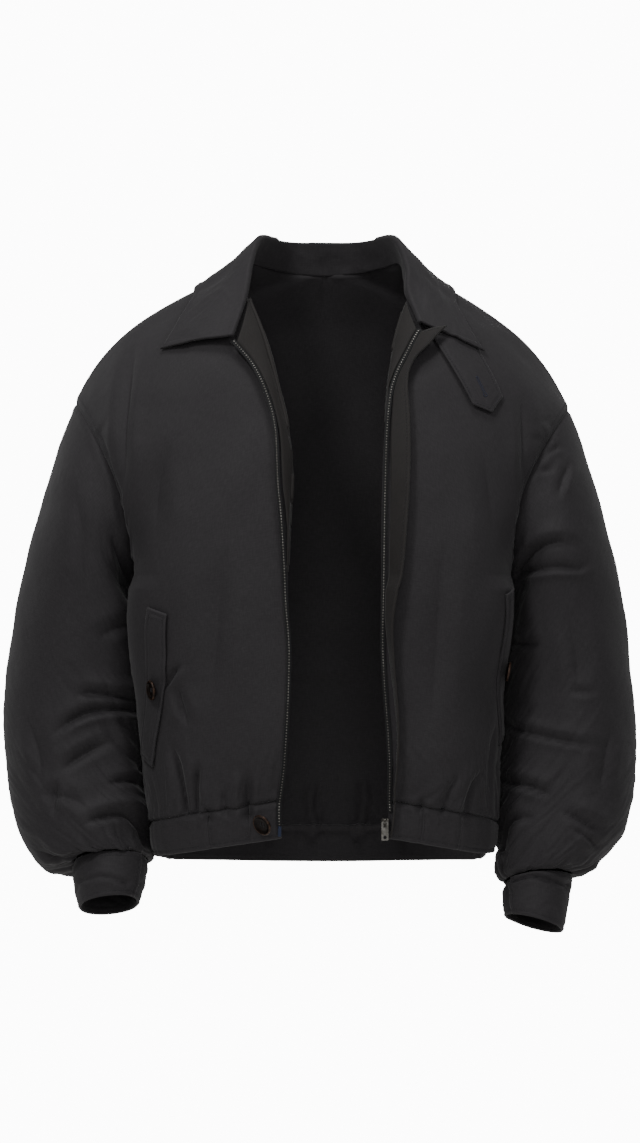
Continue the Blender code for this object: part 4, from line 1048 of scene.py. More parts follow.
def shaped_panel(side, forward):
    """A panel's grid with its folds, seams and gathers, and its normals."""
    way, turn = (side, NECK_CORNER) if forward else (-side, BACK_NECK)
    stations = shell_stations(forward)[:, None]
    places = np.linspace(0, 1, PANEL_COLUMNS[forward])
    grid = bezier_rows(side, forward, stations[:, 0], places)
    normals = grid_normals(grid) * way
    if not forward:
        # The two halves of the back share their normals at the centre.
        rows = stations[:, 0] <= BACK_NECK + 1e-9
        normals[rows, 0] = unit(normals[rows, 0] * (0, 1, 1))
    across, along = arcs(grid)
    outer, head = across[:, -1:] - across, along[-1:] - along
    share = ease(outer, 3.0, 50.0) * ease(across, 0.0, 40.0) * (1 - ease(stations, turn - 0.10, turn - 0.04))
    grid = relaxed(grid, share[..., None])
    normals[:, 1:-1] = (grid_normals(grid) * way)[:, 1:-1]
    neck = ease(stations, turn - 0.04, turn)
    lift = body_lift(grid, normals)
    lift *= ease(np.minimum(outer, head), 0.0, 16.0) * (1 - neck * (1 - ease(across, 0.0, 16.0)))
    lift += 2.2 * neck * bell(across, 5.0)
    lift += seam_dip(outer) + seam_dip(head) + seam_dip(along, 2.2, 2.0)
    lift += body_crumple(side, forward, places, stations)
    lift += 1.3 * hem_pucker(grid) * bell(along, 26.0, 1.4) * ease(outer, 0.0, 20.0)
    return raised(grid, normals, lift), normals


SEAM_ALLOWANCE = 6.0        # how far sleeve and panels run on under each other at the armhole


def with_allowance(grid, normals, forward):
    """A panel's grid with a strip beside the lower armhole that runs on into the sleeve."""
    onward = unit(grid[:, -1] - grid[:, -4])
    station = shell_stations(forward)[:, None]
    share = ease(station, UNDERARM - 0.04, UNDERARM) * (1 - ease(station, UNDERARM + 0.10, UNDERARM + 0.30))
    strip = grid[:, -1] + (0.4 + SEAM_ALLOWANCE * share) * onward * MM - (0.2 + 1.0 * share) * normals[:, -1] * MM
    return np.concatenate([grid, strip[:, None]], axis=1)


class JACKET_OT_shell(bpy.types.Operator):
    """Drape the back and the two fronts"""

    bl_idname = "jacket.shell"
    bl_label = "Back and Fronts"

    def execute(self, context):
        wall, (near, far) = context.scene.jacket_sizes.wall, ARMHOLE_STITCHES
        right, left = halves = [shaped_panel(side, False) for side in (RIGHT, LEFT)]
        rows = shell_stations(False) <= BACK_NECK + 1e-9
        right[0][rows, 0] = left[0][rows, 0] = ((right[0][:, 0] + left[0][:, 0]) / 2)[rows]
        wide = [with_allowance(grid, normals, False) for grid, normals in halves]
        edges = []
        for grid in wide:
            across, along = arcs(grid)
            edges.append(np.minimum.reduce([across[:, -1:] - across, along, along[-1:] - along]))
        back = cloth("back", [wide[0][:, ::-1], wide[1]], wall, flip=True, edges=[edges[0][:, ::-1], edges[1]])
        sew("back", [right, right, left, left], *[("end", near, 0.60, 0.99), ("end", far, 0.60, 0.98)] * 2)
        for side in (RIGHT, LEFT):
            node = f"front_{WORDS[side]}"
            grid, normals = shaped_panel(side, True)
            front = cloth(node, [with_allowance(grid, normals, True)], wall, flip=side == RIGHT)
            sew(node, (grid, normals), ("end", near, 0.605, 0.99), ("end", far, 0.62, 0.98),
                ("foot", HEM_STITCHES, 0.0, 1.0))
        return {"FINISHED"}


# ---------------------------------------------------------------- sleeves, collar, band and cuffs


def sleeve_grid(side):
    """A sleeve with its folds: its grid and its normals. Its rows go down, its columns round from the inner side."""
    stations = np.concatenate([np.linspace(0, 0.9, SLEEVE_ROWS)[:-1], np.linspace(0.9, 1, SLEEVE_FOOT_ROWS)])
    angles = np.concatenate([np.linspace(pi, 2 * pi, SLEEVE_BACK_COLUMNS)[:-1],
                             np.linspace(2 * pi, 3 * pi, SLEEVE_FRONT_COLUMNS)])
    grid = ring_rows(side, [read(SLEEVE[side], station) for station in stations], angles)
    normals = grid_normals(grid, closed=True) * side
    down = arcs(grid)[1]
    wrist = down[-1:] - down
    ends = ease(np.minimum(down, wrist), 2.0, 22.0)
    lift = (crease_lift(grid, normals, ARM_CREASES[side], -1) + crease_lift(grid, normals, ARM_BACK_CREASES[side], 1)
            + rumple(grid, 0.9))
    lift *= ease(np.minimum(down, wrist), 0.0, 14.0)
    lift += seam_dip(down) + seam_dip(wrist)
    # Small puffs: most on the inner side, where the bent elbow gathers the cloth.
    inner = ease(-np.cos(angles), -0.35, 0.85)
    around = np.abs(angles - 2 * pi) * 75.0 + 500.0 * (angles > 2 * pi)
    share = np.minimum(inner * (0.30 + 0.70 * ease(down, 100.0, 240.0)) + 0.35 * ease(down, 230.0, 400.0), 1.0)
    lift += crumple(around, down, SLEEVE_PUFFS, 17.0 + 4 * side) * share * ends
    wrinkles = crumple(around + 0.4 * down, down - 0.25 * around, SLEEVE_WRINKLES, 31.0 + side)
    lift += wrinkles * ends * (0.25 + 0.75 * share)
    # The inner side fills out against the body.
    inward = bell(angles - 3 * pi, 0.42) + bell(angles - pi, 0.42)
    lift += inward * np.interp(-grid[..., 2] / MM, ARM_DEPTHS, ARM_SWELLS[side]) * ease(wrist, 0.0, 12.0)
    # The outer corner above the cuff is drawn in, and the front's inner part stands out.
    lift -= (10.0 if side == LEFT else 3.0) * bell(angles - 2 * pi, 0.75) * bell(stations - 0.935, 0.05)[:, None]
    lift += 11.0 * bell(angles - 2.76 * pi, 0.40) * ease(down, 20.0, 70.0) * ease(wrist, 8.0, 60.0)
    # Gathers above the cuff.
    x, y = np.cos(angles), np.sin(angles)
    waves = noise_at(2.1 * x, 2.1 * y, 4.4 + side) + 0.7 * noise_at(4.6 * x, 4.6 * y, 1.4 + side)
    lift += (5.0 * waves - 2.2 * bell(waves, 0.08, 1.4)) * bell(wrist - 14.0, 20.0)
    return raised(grid, normals, lift), normals


class JACKET_OT_sleeves(bpy.types.Operator):
    """Drape the two sleeves, with the folds that the bent elbows push into them"""

    bl_idname = "jacket.sleeves"
    bl_label = "Sleeves"

    def execute(self, context):
        for side in (RIGHT, LEFT):
            grid, normals = sleeve_grid(side)
            allowance = grid[0] + (SEAM_ALLOWANCE * unit(grid[0] - grid[3]) - 1.5 * normals[0]) * MM
            grid = np.concatenate([allowance[None], grid])
            sleeve = cloth(f"sleeve_{WORDS[side]}", [grid], context.scene.jacket_sizes.wall, flip=side == RIGHT,
                           closed=True)
        return {"FINISHED"}


BACK_LEAF_LIFT, LEAF_LIFT = 1.8, 4.0    # how far the collar's edge lies off the panels, behind and in front
LEAF_RISE = (0.22, 0.40)    # where round the neck it goes from the one to the other


def collar_section(side, row):
    """A section through the collar: up the stand, over the roll, and down the leaf to its edge."""
    rise = float(np.interp(row.edge_across, LEAF_RISE, (BACK_LEAF_LIFT, LEAF_LIFT)))
    seam = laid(side, row.across, row.up, row.clear, row.forward)
    stand = Vector((side * row.stand_out, row.stand_y, row.stand_z)) * MM
    roll = laid(side, row.across, row.up, 0.0, row.forward) + stand
    edge = laid(side, row.edge_across, row.edge_up, rise, row.forward)
    over = (edge - roll).normalized() * ROLL_WIDTH * MM
    points = [seam, seam.lerp(roll, 0.55), roll, roll + over]
    for share in (0.35, 0.60, 0.82, 1.0):
        across = row.across + (row.edge_across - row.across) * share
        up = row.up + (row.edge_up - row.up) * share
        base = laid(side, across, up, 0.0, row.forward)
        away = laid(side, across, up, 1.0, row.forward) - base
        fade = (1 - share) ** 1.5
        points.append(base + stand * fade + away * rise * (1 - fade))
    return points


class JACKET_OT_collar(bpy.types.Operator):
    """Fold the collar round the neck and topstitch its leaf"""

    bl_idname = "jacket.collar"
    bl_label = "Collar"

    def execute(self, context):
        right, left = ([collar_section(side, row) for row in COLLAR[side]] for side in (RIGHT, LEFT))
        right[0] = [(a + b) / 2 for a, b in zip(right[0], left[0])]
        drop = (right[1][-1].z + left[1][-1].z) / 2 - right[0][-1].z
        right[0][-1] += Vector((0, 0, 0.5 * drop))
        grid = spline_grid(right[::-1] + left[1:], 16, 9)
        normals = grid_normals(grid)
        across, along = arcs(grid)
        leaf, ends = across[:, -1:] - across, np.minimum(along, along[-1:] - along)
        lift = crease_lift(grid, normals, COLLAR_CREASES, -1) + rumple(grid, 0.5)
        lift *= ease(across, 0.0, 12.0)
        smooth = 1 - 0.85 * bell(across - across[:, ROLL_COLUMN:ROLL_COLUMN + 1], 15.0)
        lift += crumple(along, across, COLLAR_PUFFS, 2.5) * ease(leaf, 6.0, 22.0) * smooth
        lift += 0.5 * rumple(grid) * ease(30.0 - leaf, 0.0, 25.0)
        rim = np.minimum(leaf, ends + 40.0 * np.exp(-(across / 22.0)))
        lift += sewn_edge(rim, COLLAR_STITCHES, 0.9, 1.5)
        shaped = raised(grid, normals, lift)
        collar = cloth("collar", [shaped], context.scene.jacket_sizes.doubled, edges=[rim])
        sew("collar", (shaped, normals), ("end", COLLAR_STITCHES, 0.012, 0.988),
            ("foot", COLLAR_STITCHES, 0.42, 0.94), ("head", COLLAR_STITCHES, 0.42, 0.94))
        return {"FINISHED"}


def band_piece(node, stretches, wall):
    """A strip of the hem band from stretches of fronts and back: its grid and its normals."""
    levels = np.concatenate([[-0.05], np.linspace(0.0, 1.0, BAND_ROWS)])
    grids, all_normals = [], []
    for side, forward, start, end, columns in stretches:
        across = np.linspace(start, end, columns)
        grid = band_rows(side, forward, across, levels)
        normals = grid_normals(grid)
        if np.mean(normals[:, :, 0] * grid[:, :, 0] + normals[:, :, 1] * grid[:, :, 1]) < 0:
            normals = -normals
        # At its seam the band takes the panel's normals.
        panel = grid_normals(bezier_rows(side, forward, [0.0, 0.005], across))[0]
        panel = panel * (side if forward else -side) * np.sign(end - start)
        share = bell(np.maximum(levels, 0.0), 0.25)[:, None, None]
        first = 1 if grids else 0
        grids.append(grid[:, first:])
        all_normals.append(unit(normals * (1 - share) + panel[None] * share)[:, first:])
    grid, normals = np.concatenate(grids, axis=1), np.concatenate(all_normals, axis=1)
    across, along = arcs(grid)
    ends, foot = np.minimum(across, across[:, -1:] - across), along[-1:] - along
    lift = body_lift(grid, normals) * np.exp(-along / 60.0)
    lift += hem_pucker(grid) * (1.3 * bell(along, 15.0, 1.4) + 0.7 * np.exp(-foot / 18.0))
    lift += seam_dip(along, 1.8, 2.0) + 0.8 * seam_dip(ends) + sewn_edge(foot, BAND_STITCHES)
    lift[0] -= 1.6
    shaped = raised(grid, normals, lift)
    band = cloth(node, [shaped], wall, flip=bool(np.mean(grid_normals(shaped) * normals) < 0))
    return shaped, normals


class JACKET_OT_hem(bpy.types.Operator):
    """Sew the hem band on: its back, its two fronts and its two tabs"""

    bl_idname = "jacket.hem"
    bl_label = "Hem Band"

    def execute(self, context):
        (_, outer_right), (_, outer_left) = BAND_SEAMS[RIGHT], BAND_SEAMS[LEFT]
        pieces = {"band_back": ([(RIGHT, True, outer_right, 1.0, 90), (RIGHT, False, 1.0, 0.0, 110),
                                 (LEFT, False, 0.0, 1.0, 110), (LEFT, True, 1.0, outer_left, 90)], 0.820)}
        for side, (inner, outer) in BAND_SEAMS.items():
            pieces["band_front_" + WORDS[side]] = [(side, True, inner, outer, 40)], 0.046
            pieces["band_tab_" + WORDS[side]] = [(side, True, 0.0, inner, 40)], 0.035
        for node, (stretches, length) in pieces.items():
            shaped = band_piece(node, stretches, context.scene.jacket_sizes.doubled)
            rows = [("head", BAND_STITCHES, 0.004, 0.996), ("start", HEM_STITCHES, 0.02, 0.98),
                    ("end", HEM_STITCHES, 0.02, 0.98)]
            sew(node, shaped, *rows[:1 if "back" in node else 3 if "front" in node else 2])
        return {"FINISHED"}


class JACKET_OT_cuffs(bpy.types.Operator):
    """Wrap the cuffs round the sleeve ends, with their free ends lapped"""

    bl_idname = "jacket.cuffs"
    bl_label = "Cuffs"

    def execute(self, context):
        shares = np.linspace(0, 1, CUFF_COLUMNS)
        angles = CUFF_START - CUFF_SWEEP * shares
        lapped = UNDERLAP * np.clip((shares - 0.70) / 0.20, 0, 1)
        for side in (RIGHT, LEFT):
            node = f"cuff_{WORDS[side]}"
            sections = [read(CUFF[side], drop) for drop in np.linspace(0.008, 1.0, CUFF_ROWS)]
            grid = ring_rows(side, sections, angles, lapped)
            normals = grid_normals(grid) * -side
            across, along = arcs(grid)
            foot = along[-1:] - along
            lift = 0.55 * rumple(grid) * ease(along, 0.0, 10.0)
            lift += crumple(across + 200 * side, along, CUFF_PUFFS, 6.0) * ease(along, 1.0, 9.0) * ease(foot, 5.0, 14.0)
            lift += crease_lift(grid, normals, CUFF_CREASES[side], -1)
            lift += CUFF_SWELLS[side] * bell(np.mod(angles, 2 * pi) - pi, 0.55) * ease(along, 0.0, 12.0)
            lift += 1.2 * np.sin(pi * along / along[-1:]) + seam_dip(along, 0.8)
            lift += sewn_edge(foot, CUFF_STITCHES, 0.7, 1.4, 0.9) + sewn_edge(across, CUFF_STITCHES, 0.7, 1.4, 0.9)
            shaped = raised(grid, normals, lift)
            cuff = cloth(node, [shaped], context.scene.jacket_sizes.doubled, flip=side == LEFT)
            sew(node, (shaped, normals), ("head", CUFF_STITCHES, 0.015, 1.0), ("foot", 6.0, 0.02, 1.0),
                ("start", CUFF_STITCHES, 0.10, 0.90))
        return {"FINISHED"}


# ---------------------------------------------------------------- pieces laid on the fronts


def chain_at(side, up):
    """Where a zip's chain runs at a height on the front: across it, and off it."""
    row = read(CHAIN[side], up)
    return row.across, row.lift


def on_body(side, spots):
    """Points laid on a front with its folds, from rows of (across, up, lift), and their normals."""
    grid = np.array([[laid(side, *spot) for spot in row] for row in spots])
    normals = grid_normals(grid)
    if np.mean(normals[..., 1]) > 0:
        normals = -normals
    spots = np.array(spots)
    lift = body_lift(grid, normals) + body_crumple(side, True, spots[..., 0], spots[..., 1])
    return raised(grid, normals, lift), normals


def strip_row(start, end, first, last, steps, belly):
    """A row of places from one (across, up) to another, with its lift going from first to last over a belly."""
    return [(start[0] + (end[0] - start[0]) * way, start[1] + (end[1] - start[1]) * way,
             first + (last - first) * way + belly * sin(pi * way)) for way in np.linspace(0, 1, steps)]


class JACKET_OT_edges(bpy.types.Operator):
    """Turn back the fronts' edges and the fly, which show their under side"""

    bl_idname = "jacket.edges"
    bl_label = "Turned-Back Edges"

    def execute(self, context):
        wall = context.scene.jacket_sizes.wall
        for side, (foot, head_roll, head_chain) in FACING_ENDS.items():
            foot -= FACING_TAPER[side]
            spots = []
            for share in np.linspace(0, 1, FACING_ROWS[side]):
                up, high = foot + (head_roll - foot) * share, foot + (head_chain - foot) * share
                across, lift = chain_at(side, high)
                slim = float(ease(share, 0.0, 0.5))
                fold = [(0.001, up, -1.0), (-0.008 * slim, up, 0.1), (-0.009 * slim, up, 1.2), (-0.004 * slim, up, 2.3)]
                spots.append(fold + strip_row((0.002, up), (max(across - BESIDE_TAPE, 0.0035), high), ROLL_LIFT, lift,
                                              10, 0.5))
            word = WORDS[side]
            facing = cloth(f"facing_{word}", [on_body(side, spots)[0]], wall, flip=side == RIGHT, material=INNER_CLOTH)
        foot, head_chain, head_edge = FLY_ENDS
        spots = []
        for share in np.linspace(0, 1, FLY_ROWS):
            up, high = foot + (head_chain - foot) * share, foot + (head_edge - foot) * share
            across, lift = chain_at(LEFT, up)
            edge = read(FLY_EDGE, high)
            spots.append(strip_row((across + BESIDE_TAPE, up), (edge.across, high), lift, edge.lift, 14, 0.6))
        grid, normals = on_body(LEFT, spots)
        fly = cloth("placket", [grid], wall, material=INNER_CLOTH)
        sew("placket", (grid, normals), ("end", FLY_STITCHES, 0.03, 0.99), ("head", FLY_STITCHES, 0.2, 0.86))
        return {"FINISHED"}


TOOTH = (1.1 * MM, 1.1 * MM, 0.8 * MM, 1.0)
TAPE_SECTION = ((-1.0, 0), (-0.8, 0), (-0.4, 1), (0.0, 1), (0.4, 1), (0.8, 0), (1.0, 0))    # aside, and proud


class JACKET_OT_zips(bpy.types.Operator):
    """Sew in the two zip tapes and set their teeth"""

    bl_idname = "jacket.zips"
    bl_label = "Zip Tapes and Teeth"

    def execute(self, context):
        pitch = context.scene.jacket_sizes.tooth_pitch
        for side in (RIGHT, LEFT):
            node = f"zip_tape_{WORDS[side]}"
            grid, outs = [], []
            for up in np.linspace(*TAPE_ENDS[side], TAPE_ROWS):
                across, lift = chain_at(side, up)
                middle = laid(side, across, up, lift)
                aside = (laid(side, across + 0.02, up, lift) - middle).normalized() * TAPE_WIDTH / 2 * MM
                proud = laid(side, across, up, lift + 0.5) - middle
                grid.append([middle + aside * out + proud * high for out, high in TAPE_SECTION])
                outs.append(proud.normalized())
            grid = np.array(grid)
            normals = np.repeat(np.array(outs)[:, None], grid.shape[1], axis=1)
            grid = raised(grid, normals, body_lift(grid, normals))
            tape = cloth(node, [grid], TAPE_THICKNESS, flip=side == RIGHT, material="Woven zip tape")
            chain, outward = grid[:, 3], normals[:, 3]
            lengths = run_lengths(chain)
            bm = bmesh.new()
            for number in range(int(lengths[-1] / pitch)):
                at = (number + 0.5) * pitch
                run = (on_line(chain, lengths, at + 1e-3) - on_line(chain, lengths, at - 1e-3)).normalized()
                aside = run.cross(on_line(outward, lengths, at)).normalized()
                up = aside.cross(run)
                turn = Matrix((aside, run, up)).transposed().to_4x4()
                spot = Matrix.Translation(on_line(chain, lengths, at) + up * 0.3 * MM)
                bmesh.ops.create_cube(bm, size=1.0, matrix=spot @ turn @ Matrix.Diagonal(TOOTH))
            dress(finish(f"{node}_teeth", bm, [finishes()["Nickel plate"]], smooth=False), node, stands_in=False)
        return {"FINISHED"}


def patch_spots(patch, lift, rows, columns):
    """Places of a laid piece from its head to its foot."""
    spots = []
    for down in np.linspace(0, 1, rows):
        fore, aft = ([a + (b - a) * down for a, b in zip(*ends)]
                     for ends in ((patch.head_fore, patch.foot_fore), (patch.head_aft, patch.foot_aft)))
        bow = patch.bow * sin(pi * down)
        spots.append([(fore[0] + (aft[0] - fore[0]) * share - bow, fore[1] + (aft[1] - fore[1]) * share, lift)
                      for share in np.linspace(0, 1, columns)])
    return spots


def doubled_piece(node, side, spots, inset, wall):
    """A doubled piece laid on a front, its rim rounded and its line of topstitching pressed in."""
    grid, normals = on_body(side, spots)
    rim = from_border(grid)
    shaped = raised(grid, normals, 0.35 * ease(rim, 0, inset * 2) + sewn_edge(rim, inset, 0.7, 1.3))
    return cloth(node, [shaped], wall, flip=side == LEFT, edges=[rim]), shaped, normals


class JACKET_OT_flaps(bpy.types.Operator):
    """Lay the slanted pocket flaps on the fronts"""

    bl_idname = "jacket.flaps"
    bl_label = "Pocket Flaps"

    def execute(self, context):
        for side, lift in ((RIGHT, 3.8), (LEFT, 2.6)):
            node = f"pocket_flap_{WORDS[side]}"
            flap, *shaped = doubled_piece(node, side, patch_spots(FLAP[side], lift, *FLAP_GRID), FLAP_STITCHES,
                                          context.scene.jacket_sizes.doubled)
            sew(node, tuple(shaped), ("start", FLAP_STITCHES, 0.03, 0.97), ("end", FLAP_STITCHES, 0.03, 0.97),
                ("foot", FLAP_STITCHES, 0.13, 0.87), ("head", FLAP_STITCHES, 0.13, 0.87),
                ("foot", FLAP_SECOND, 0.13, 0.87))
        return {"FINISHED"}


BUTTONHOLE_ROWS = (50, 60)  # the rows of the tab's grid at which its buttonhole starts and ends


class JACKET_OT_tab(bpy.types.Operator):
    """Lay the throat tab over the fly's head, with its keyhole buttonhole"""

    bl_idname = "jacket.tab"
    bl_label = "Throat Tab"

    def execute(self, context):
        rows, columns = TAB_GRID
        middle = slice(columns // 2 - 1, columns // 2 + 1)
        spots = np.array(patch_spots(TAB, 3.8, rows, columns))
        # Its foot is drawn out to a point.
        away = TAB_POINT - spots[-1, middle, :2].mean(axis=0)
        reach = ease(np.linspace(0, 1, rows)[:, None], 0.62, 1.0) * (1 - np.abs(np.linspace(0, 1, columns) * 2 - 1))
        spots[..., :2] += away * reach[..., None]
        tab, shaped, normals = doubled_piece("throat_tab", LEFT, spots.tolist(), TAB_STITCHES,
                                             context.scene.jacket_sizes.doubled)
        sew("throat_tab", (shaped, normals), ("start", TAB_STITCHES, 0.0, 0.93), ("end", TAB_STITCHES, 0.0, 0.93),
            ("head", TAB_STITCHES, 0.13, 0.87))
        # A keyhole buttonhole, corded round with closely set stitches.
        foot, head = (shaped[row, middle].mean(axis=0) for row in BUTTONHOLE_ROWS)
        out = normals[sum(BUTTONHOLE_ROWS) // 2, middle.start]
        long = np.linalg.norm(head - foot) / MM
        run = unit(head - foot)
        aside = np.cross(run, out)
        ring = [(0.0, -0.9), (long - 3.0, -0.9)]
        ring += [(long - 1.4 - 1.9 * cos(turn), -1.9 * sin(turn)) for turn in np.linspace(0.5, 2 * pi - 0.5, 15)]
        ring += [(long - 3.0, 0.9), (0.0, 0.9), (0.0, -0.9)]
        line = np.array([foot + (run * a + aside * b + out * 0.25) * MM for a, b in ring])
        bm = bmesh.new()
        stitch_run(bm, line, np.repeat(out[None], len(line), axis=0), 0.75 * MM, 0.05 * MM, 0.55 * MM)
        dress(finish("throat_tab_buttonhole", bm, [finishes()["Blue-black buttonhole thread"]]), "throat_tab",
              stands_in=False)
        return {"FINISHED"}


# ---------------------------------------------------------------- hard pieces and the stage

# How each button droops on its thread: towards the wearer's right and down it leans, by an angle, and how much
# further out its middle then lies.
Droop = namedtuple("Droop", "right down angle lift")
DROOPS = {
    "waist_button": Droop(0.86, 0.51, 46.0, 6.0),
    "pocket_button_right": Droop(1.0, 0.1, 22.0, 2.8),
    "pocket_button_left": Droop(-1.0, 0.1, 20.0, 1.4),
}
# Half a button's section, as shares of its radius and of its thickness.
BUTTON_SECTION = [(0, 0.30), (0.40, 0.30), (0.70, 0.18), (0.93, 0.30), (0.985, 0.50), (1.0, 0.70), (0.985, 0.88),
                  (0.95, 0.97), (0.90, 1.0), (0.85, 0.97), (0.80, 0.86), (0.72, 0.66), (0.60, 0.55),
                  (0.40, 0.50), (0.20, 0.485), (0, 0.48)]
HOLE = 1.6                  # from a button's middle to its holes, along both of its axes


def button_axes(side, across, up, lift):
    """Axes on a front with its folds: Z out of it, Y up it, at a point moved out by lift millimetres."""
    around = 0.012
    grid, normals = on_body(side, [[(across + a, up + b, lift) for a in (-around, 0, around)]
                                   for b in (-around, 0, around)])
    point, outward = Vector(grid[1, 1]), Vector(normals[1, 1])
    right = outward.cross(Vector((0, 0, 1))).normalized()
    return Matrix.Translation(point) @ Matrix((right, outward.cross(right), outward)).transposed().to_4x4()


class JACKET_OT_buttons(bpy.types.Operator):
    """Turn the horn buttons and sew them on"""

    bl_idname = "jacket.buttons"
    bl_label = "Buttons"

    def execute(self, context):
        made = finishes()
        for button in BUTTONS:
            radius, deep = button.diameter / 2, BUTTON_THICKNESS
            bm = bmesh.new()
            line = [bm.verts.new((r * radius * MM, 0, h * deep * MM)) for r, h in BUTTON_SECTION]
            edges = [bm.edges.new(pair) for pair in zip(line, line[1:])]
            bmesh.ops.spin(bm, geom=line + edges, axis=(0, 0, 1), cent=(0, 0, 0), steps=48, angle=2 * pi,
                           use_merge=True, use_duplicate=False)
            bmesh.ops.remove_doubles(bm, verts=bm.verts, dist=1e-6)
            bmesh.ops.recalc_face_normals(bm, faces=bm.faces)
            for face in bm.faces:
                middle = face.calc_center_median()
                face.material_index = int(middle.xy.length > radius * 0.83 * MM and middle.z > 0.55 * deep * MM)
            droop = DROOPS[button.name]
            axes = button_axes(button.side, button.across, button.up, button.below + 0.5 + droop.lift)
            axes = axes @ Matrix.Rotation(radians(droop.angle), 4, Vector((-droop.down, droop.right, 0)))
            bmesh.ops.transform(bm, matrix=axes, verts=bm.verts)
            dress(finish(f"{button.name}_horn", bm, [made["Polished dark horn"], made["Rubbed bronze rim"]]),
                  button.name)
            bm = bmesh.new()
            for x in (-HOLE, HOLE):
                for y in (-HOLE, HOLE):
                    bmesh.ops.create_cone(bm, segments=14, radius1=0.85 * MM, radius2=0.85 * MM, depth=0.5 * MM,
                                          cap_ends=True,
                                          matrix=axes @ Matrix.Translation(Vector((x, y, deep * 0.5)) * MM))
            for x in (-HOLE, HOLE):
                spot = axes @ Matrix.Translation(Vector((x, 0, deep * 0.55)) * MM)
                bmesh.ops.create_uvsphere(bm, u_segments=8, v_segments=6, radius=1.0, matrix=spot
                                          @ Matrix.Diagonal((0.55 * MM, 2.1 * MM, 0.5 * MM, 1.0)))
            dress(finish(f"{button.name}_thread", bm, [made["Black sewing thread"]]), button.name, stands_in=False)
        return {"FINISHED"}


METALWORK = {"zip_slider": "Dull nickel plate", "zip_box": "Dull nickel plate", "zip_pull_tab": "Nickel plate",
             "zip_pin": "Blue moulded plastic"}


class JACKET_OT_metalwork(bpy.types.Operator):
    """Give the zip's slider, box, pull tab and pin their metal and plastic"""

    bl_idname = "jacket.metalwork"
    bl_label = "Zip Metalwork"

    def execute(self, context):
        for node, material in METALWORK.items():
            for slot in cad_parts[node].material_slots:
                slot.material = finishes()[material]
        return {"FINISHED"}


# Lights: place, size and power.
LIGHTS = {"key": ((-1.4, -2.2, 2.1), 0.7, 58), "fill": ((1.6, -2.7, 1.2), 0.9, 18),
          "front": ((0.1, -4.6, 0.2), 1.4, 42), "top": ((0.0, -0.5, 2.4), 0.9, 30),
          "rim_right": ((-2.3, 1.2, 0.3), 1.0, 6), "rim_left": ((2.3, 1.2, 0.3), 1.0, 3),
          "back": ((0.2, 3.3, 1.6), 0.9, 45)}
LIGHT_AIM = Vector((0, 0, -0.33))
FLOOR_RADIUS, FLOOR_LEVEL = 2.2, -1.45
CAMERA_SPOT = (-0.0053, -4.2, -0.328)
CAMERA_HALF_VIEW = 0.6058   # half the height that the camera takes in at the jacket
SOFT_LIGHT, SEEN_WHITE = 0.32, 12.0     # the studio's brightness as light, and as it is seen


class JACKET_OT_stage(bpy.types.Operator):
    """Set the floor, the soft studio light and the camera"""

    bl_idname = "jacket.stage"
    bl_label = "Stage"

    def execute(self, context):
        scene, floor_colour = context.scene, context.scene.jacket_colours.floor
        bm = bmesh.new()
        bmesh.ops.create_circle(bm, cap_ends=True, segments=96, radius=FLOOR_RADIUS,
                                matrix=Matrix.Translation((0, 0, FLOOR_LEVEL)))
        # Smooth board painted a warm white, faintly clouded.
        material, tree = new_material("Pale painted floor")
        cloud = mottle(tree, coordinate(tree, "Object"), 3.0, 4.0)
        surface(tree, {"Base Color": blend(tree, cloud, [c * 0.97 for c in floor_colour], floor_colour),
                       "Roughness": 0.85})
        finish("floor", bm, [material])
        world = bpy.data.worlds.new("White studio")
        world.use_nodes = True
        tree = world.node_tree
        tree.nodes.clear()
        seen = add_node(tree, "ShaderNodeLightPath").outputs["Is Camera Ray"]
        soft, white = (add_node(tree, "ShaderNodeBackground", {"Color": (1.0, 1.0, 1.0, 1.0), "Strength": strength})
                       .outputs["Background"] for strength in (SOFT_LIGHT, SEEN_WHITE))
        mixed = add_node(tree, "ShaderNodeMixShader", {0: seen, 1: soft, 2: white})
        add_node(tree, "ShaderNodeOutputWorld", {"Surface": mixed.outputs["Shader"]})
        scene.world = world
        for name, (spot, size, power) in LIGHTS.items():
            lamp = bpy.data.lights.new(name, "AREA")
            lamp.shape = "DISK"
            lamp.size = size
            lamp.energy = power
            light = bpy.data.objects.new(name, lamp)
            aim = LIGHT_AIM - Vector(spot)
            light.matrix_world = Matrix.Translation(spot) @ aim.to_track_quat("-Z", "Y").to_matrix().to_4x4()
            scene.collection.objects.link(light)
        lens = bpy.data.cameras.new("camera")
        lens.sensor_fit = "VERTICAL"
        lens.angle = 2 * atan(CAMERA_HALF_VIEW / -CAMERA_SPOT[1])
        camera = bpy.data.objects.new("camera", lens)
        camera.location = CAMERA_SPOT
        camera.rotation_euler = (pi / 2, 0, 0)
        scene.collection.objects.link(camera)
        scene.camera = camera
        return {"FINISHED"}


# ---------------------------------------------------------------- settings, panel and run


class JacketSizes(bpy.types.PropertyGroup):
    """Sizes of the jacket's cloth and sewing"""

    wall: FloatProperty(name="Cloth", description="Thickness of one wall of cloth", default=0.0020, unit="LENGTH")
    doubled: FloatProperty(name="Doubled cloth", description="Thickness of collar, cuffs, band and flaps",
                           default=0.0026, unit="LENGTH")
    stitch_length: FloatProperty(name="Stitch", description="Length of a stitch", default=0.0025, unit="LENGTH")
    stitch_gap: FloatProperty(name="Stitch gap", description="Room between two stitches", default=0.0008,
                              unit="LENGTH")
    thread: FloatProperty(name="Thread", description="Half the thread's width", default=0.00040, unit="LENGTH")
    tooth_pitch: FloatProperty(name="Tooth pitch", description="Distance from tooth to tooth", default=0.0030,
                               unit="LENGTH")


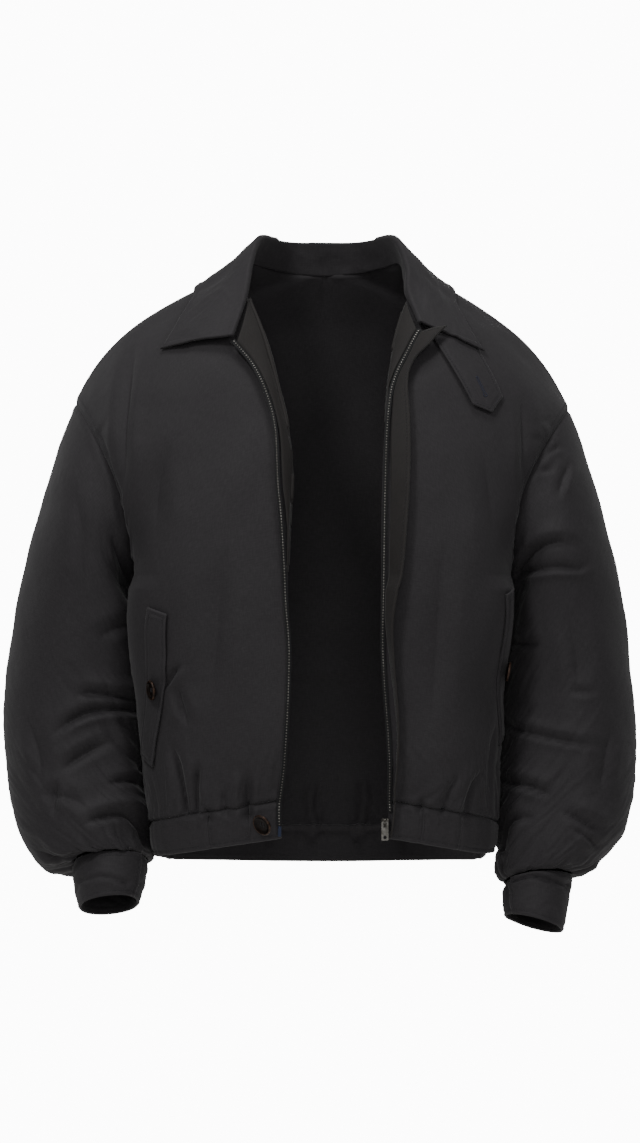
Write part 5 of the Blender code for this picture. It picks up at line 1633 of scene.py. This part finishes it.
def colour_property(name, description, hexed):
    return FloatVectorProperty(name=name, description=description, subtype="COLOR", min=0.0, max=1.0,
                               default=linear(hexed))


class JacketColours(bpy.types.PropertyGroup):
    """Colours of the jacket's cloth and trims"""

    cloth: colour_property("Cloth", "Black cloth", "201e20")
    cloth_thread: colour_property("Cloth thread", "The lighter threads of the black cloth", "2c2a2c")
    under: colour_property("Inner side", "Inner side of the cloth, a little warmer", "191716")
    under_thread: colour_property("Inner thread", "The lighter threads of the inner side", "231f1e")
    tape: colour_property("Tape", "Zip tape", "07080a")
    thread: colour_property("Thread", "Sewing thread", "1a191c")
    buttonhole: colour_property("Buttonhole", "Buttonhole thread", "262a3c")
    horn: colour_property("Horn", "Dark horn", "080504")
    horn_grain: colour_property("Horn grain", "The horn's paler grain", "140c08")
    rim: colour_property("Rim", "Rubbed rim of the buttons", "3b2a20")
    nickel: colour_property("Nickel", "Nickel plate", "6e6c68")
    nickel_dull: colour_property("Dull nickel", "Nickel plate where it is worn dull", "504e4a")
    plastic: colour_property("Plastic", "The insert pin", "131d33")
    floor: colour_property("Floor", "The studio's floor", "e9e8e6")


STEPS = ("shell", "sleeves", "collar", "hem", "cuffs", "edges", "zips", "flaps", "tab", "buttons", "metalwork",
         "stage")


class JACKET_PT_sidebar(bpy.types.Panel):
    """Sizes, colours and steps of the jacket"""

    bl_label = "Jacket"
    bl_idname = "JACKET_PT_sidebar"
    bl_space_type = "VIEW_3D"
    bl_region_type = "UI"
    bl_category = "Jacket"

    def draw(self, context):
        for group in (context.scene.jacket_sizes, context.scene.jacket_colours):
            box = self.layout.box()
            for name in group.__annotations__:
                box.prop(group, name)
        for step in STEPS:
            self.layout.operator("jacket." + step)


CLASSES = (JacketSizes, JacketColours, JACKET_OT_shell, JACKET_OT_sleeves, JACKET_OT_collar, JACKET_OT_hem,
           JACKET_OT_cuffs, JACKET_OT_edges, JACKET_OT_zips, JACKET_OT_flaps, JACKET_OT_tab, JACKET_OT_buttons,
           JACKET_OT_metalwork, JACKET_OT_stage, JACKET_PT_sidebar)


def register():
    for made in CLASSES:
        bpy.utils.register_class(made)
    bpy.types.Scene.jacket_sizes = PointerProperty(type=JacketSizes)
    bpy.types.Scene.jacket_colours = PointerProperty(type=JacketColours)


def unregister():
    del bpy.types.Scene.jacket_sizes
    del bpy.types.Scene.jacket_colours
    for made in reversed(CLASSES):
        bpy.utils.unregister_class(made)


def main():
    register()
    for step in STEPS:
        getattr(bpy.ops.jacket, step)()


if __name__ == "__main__":
    main()
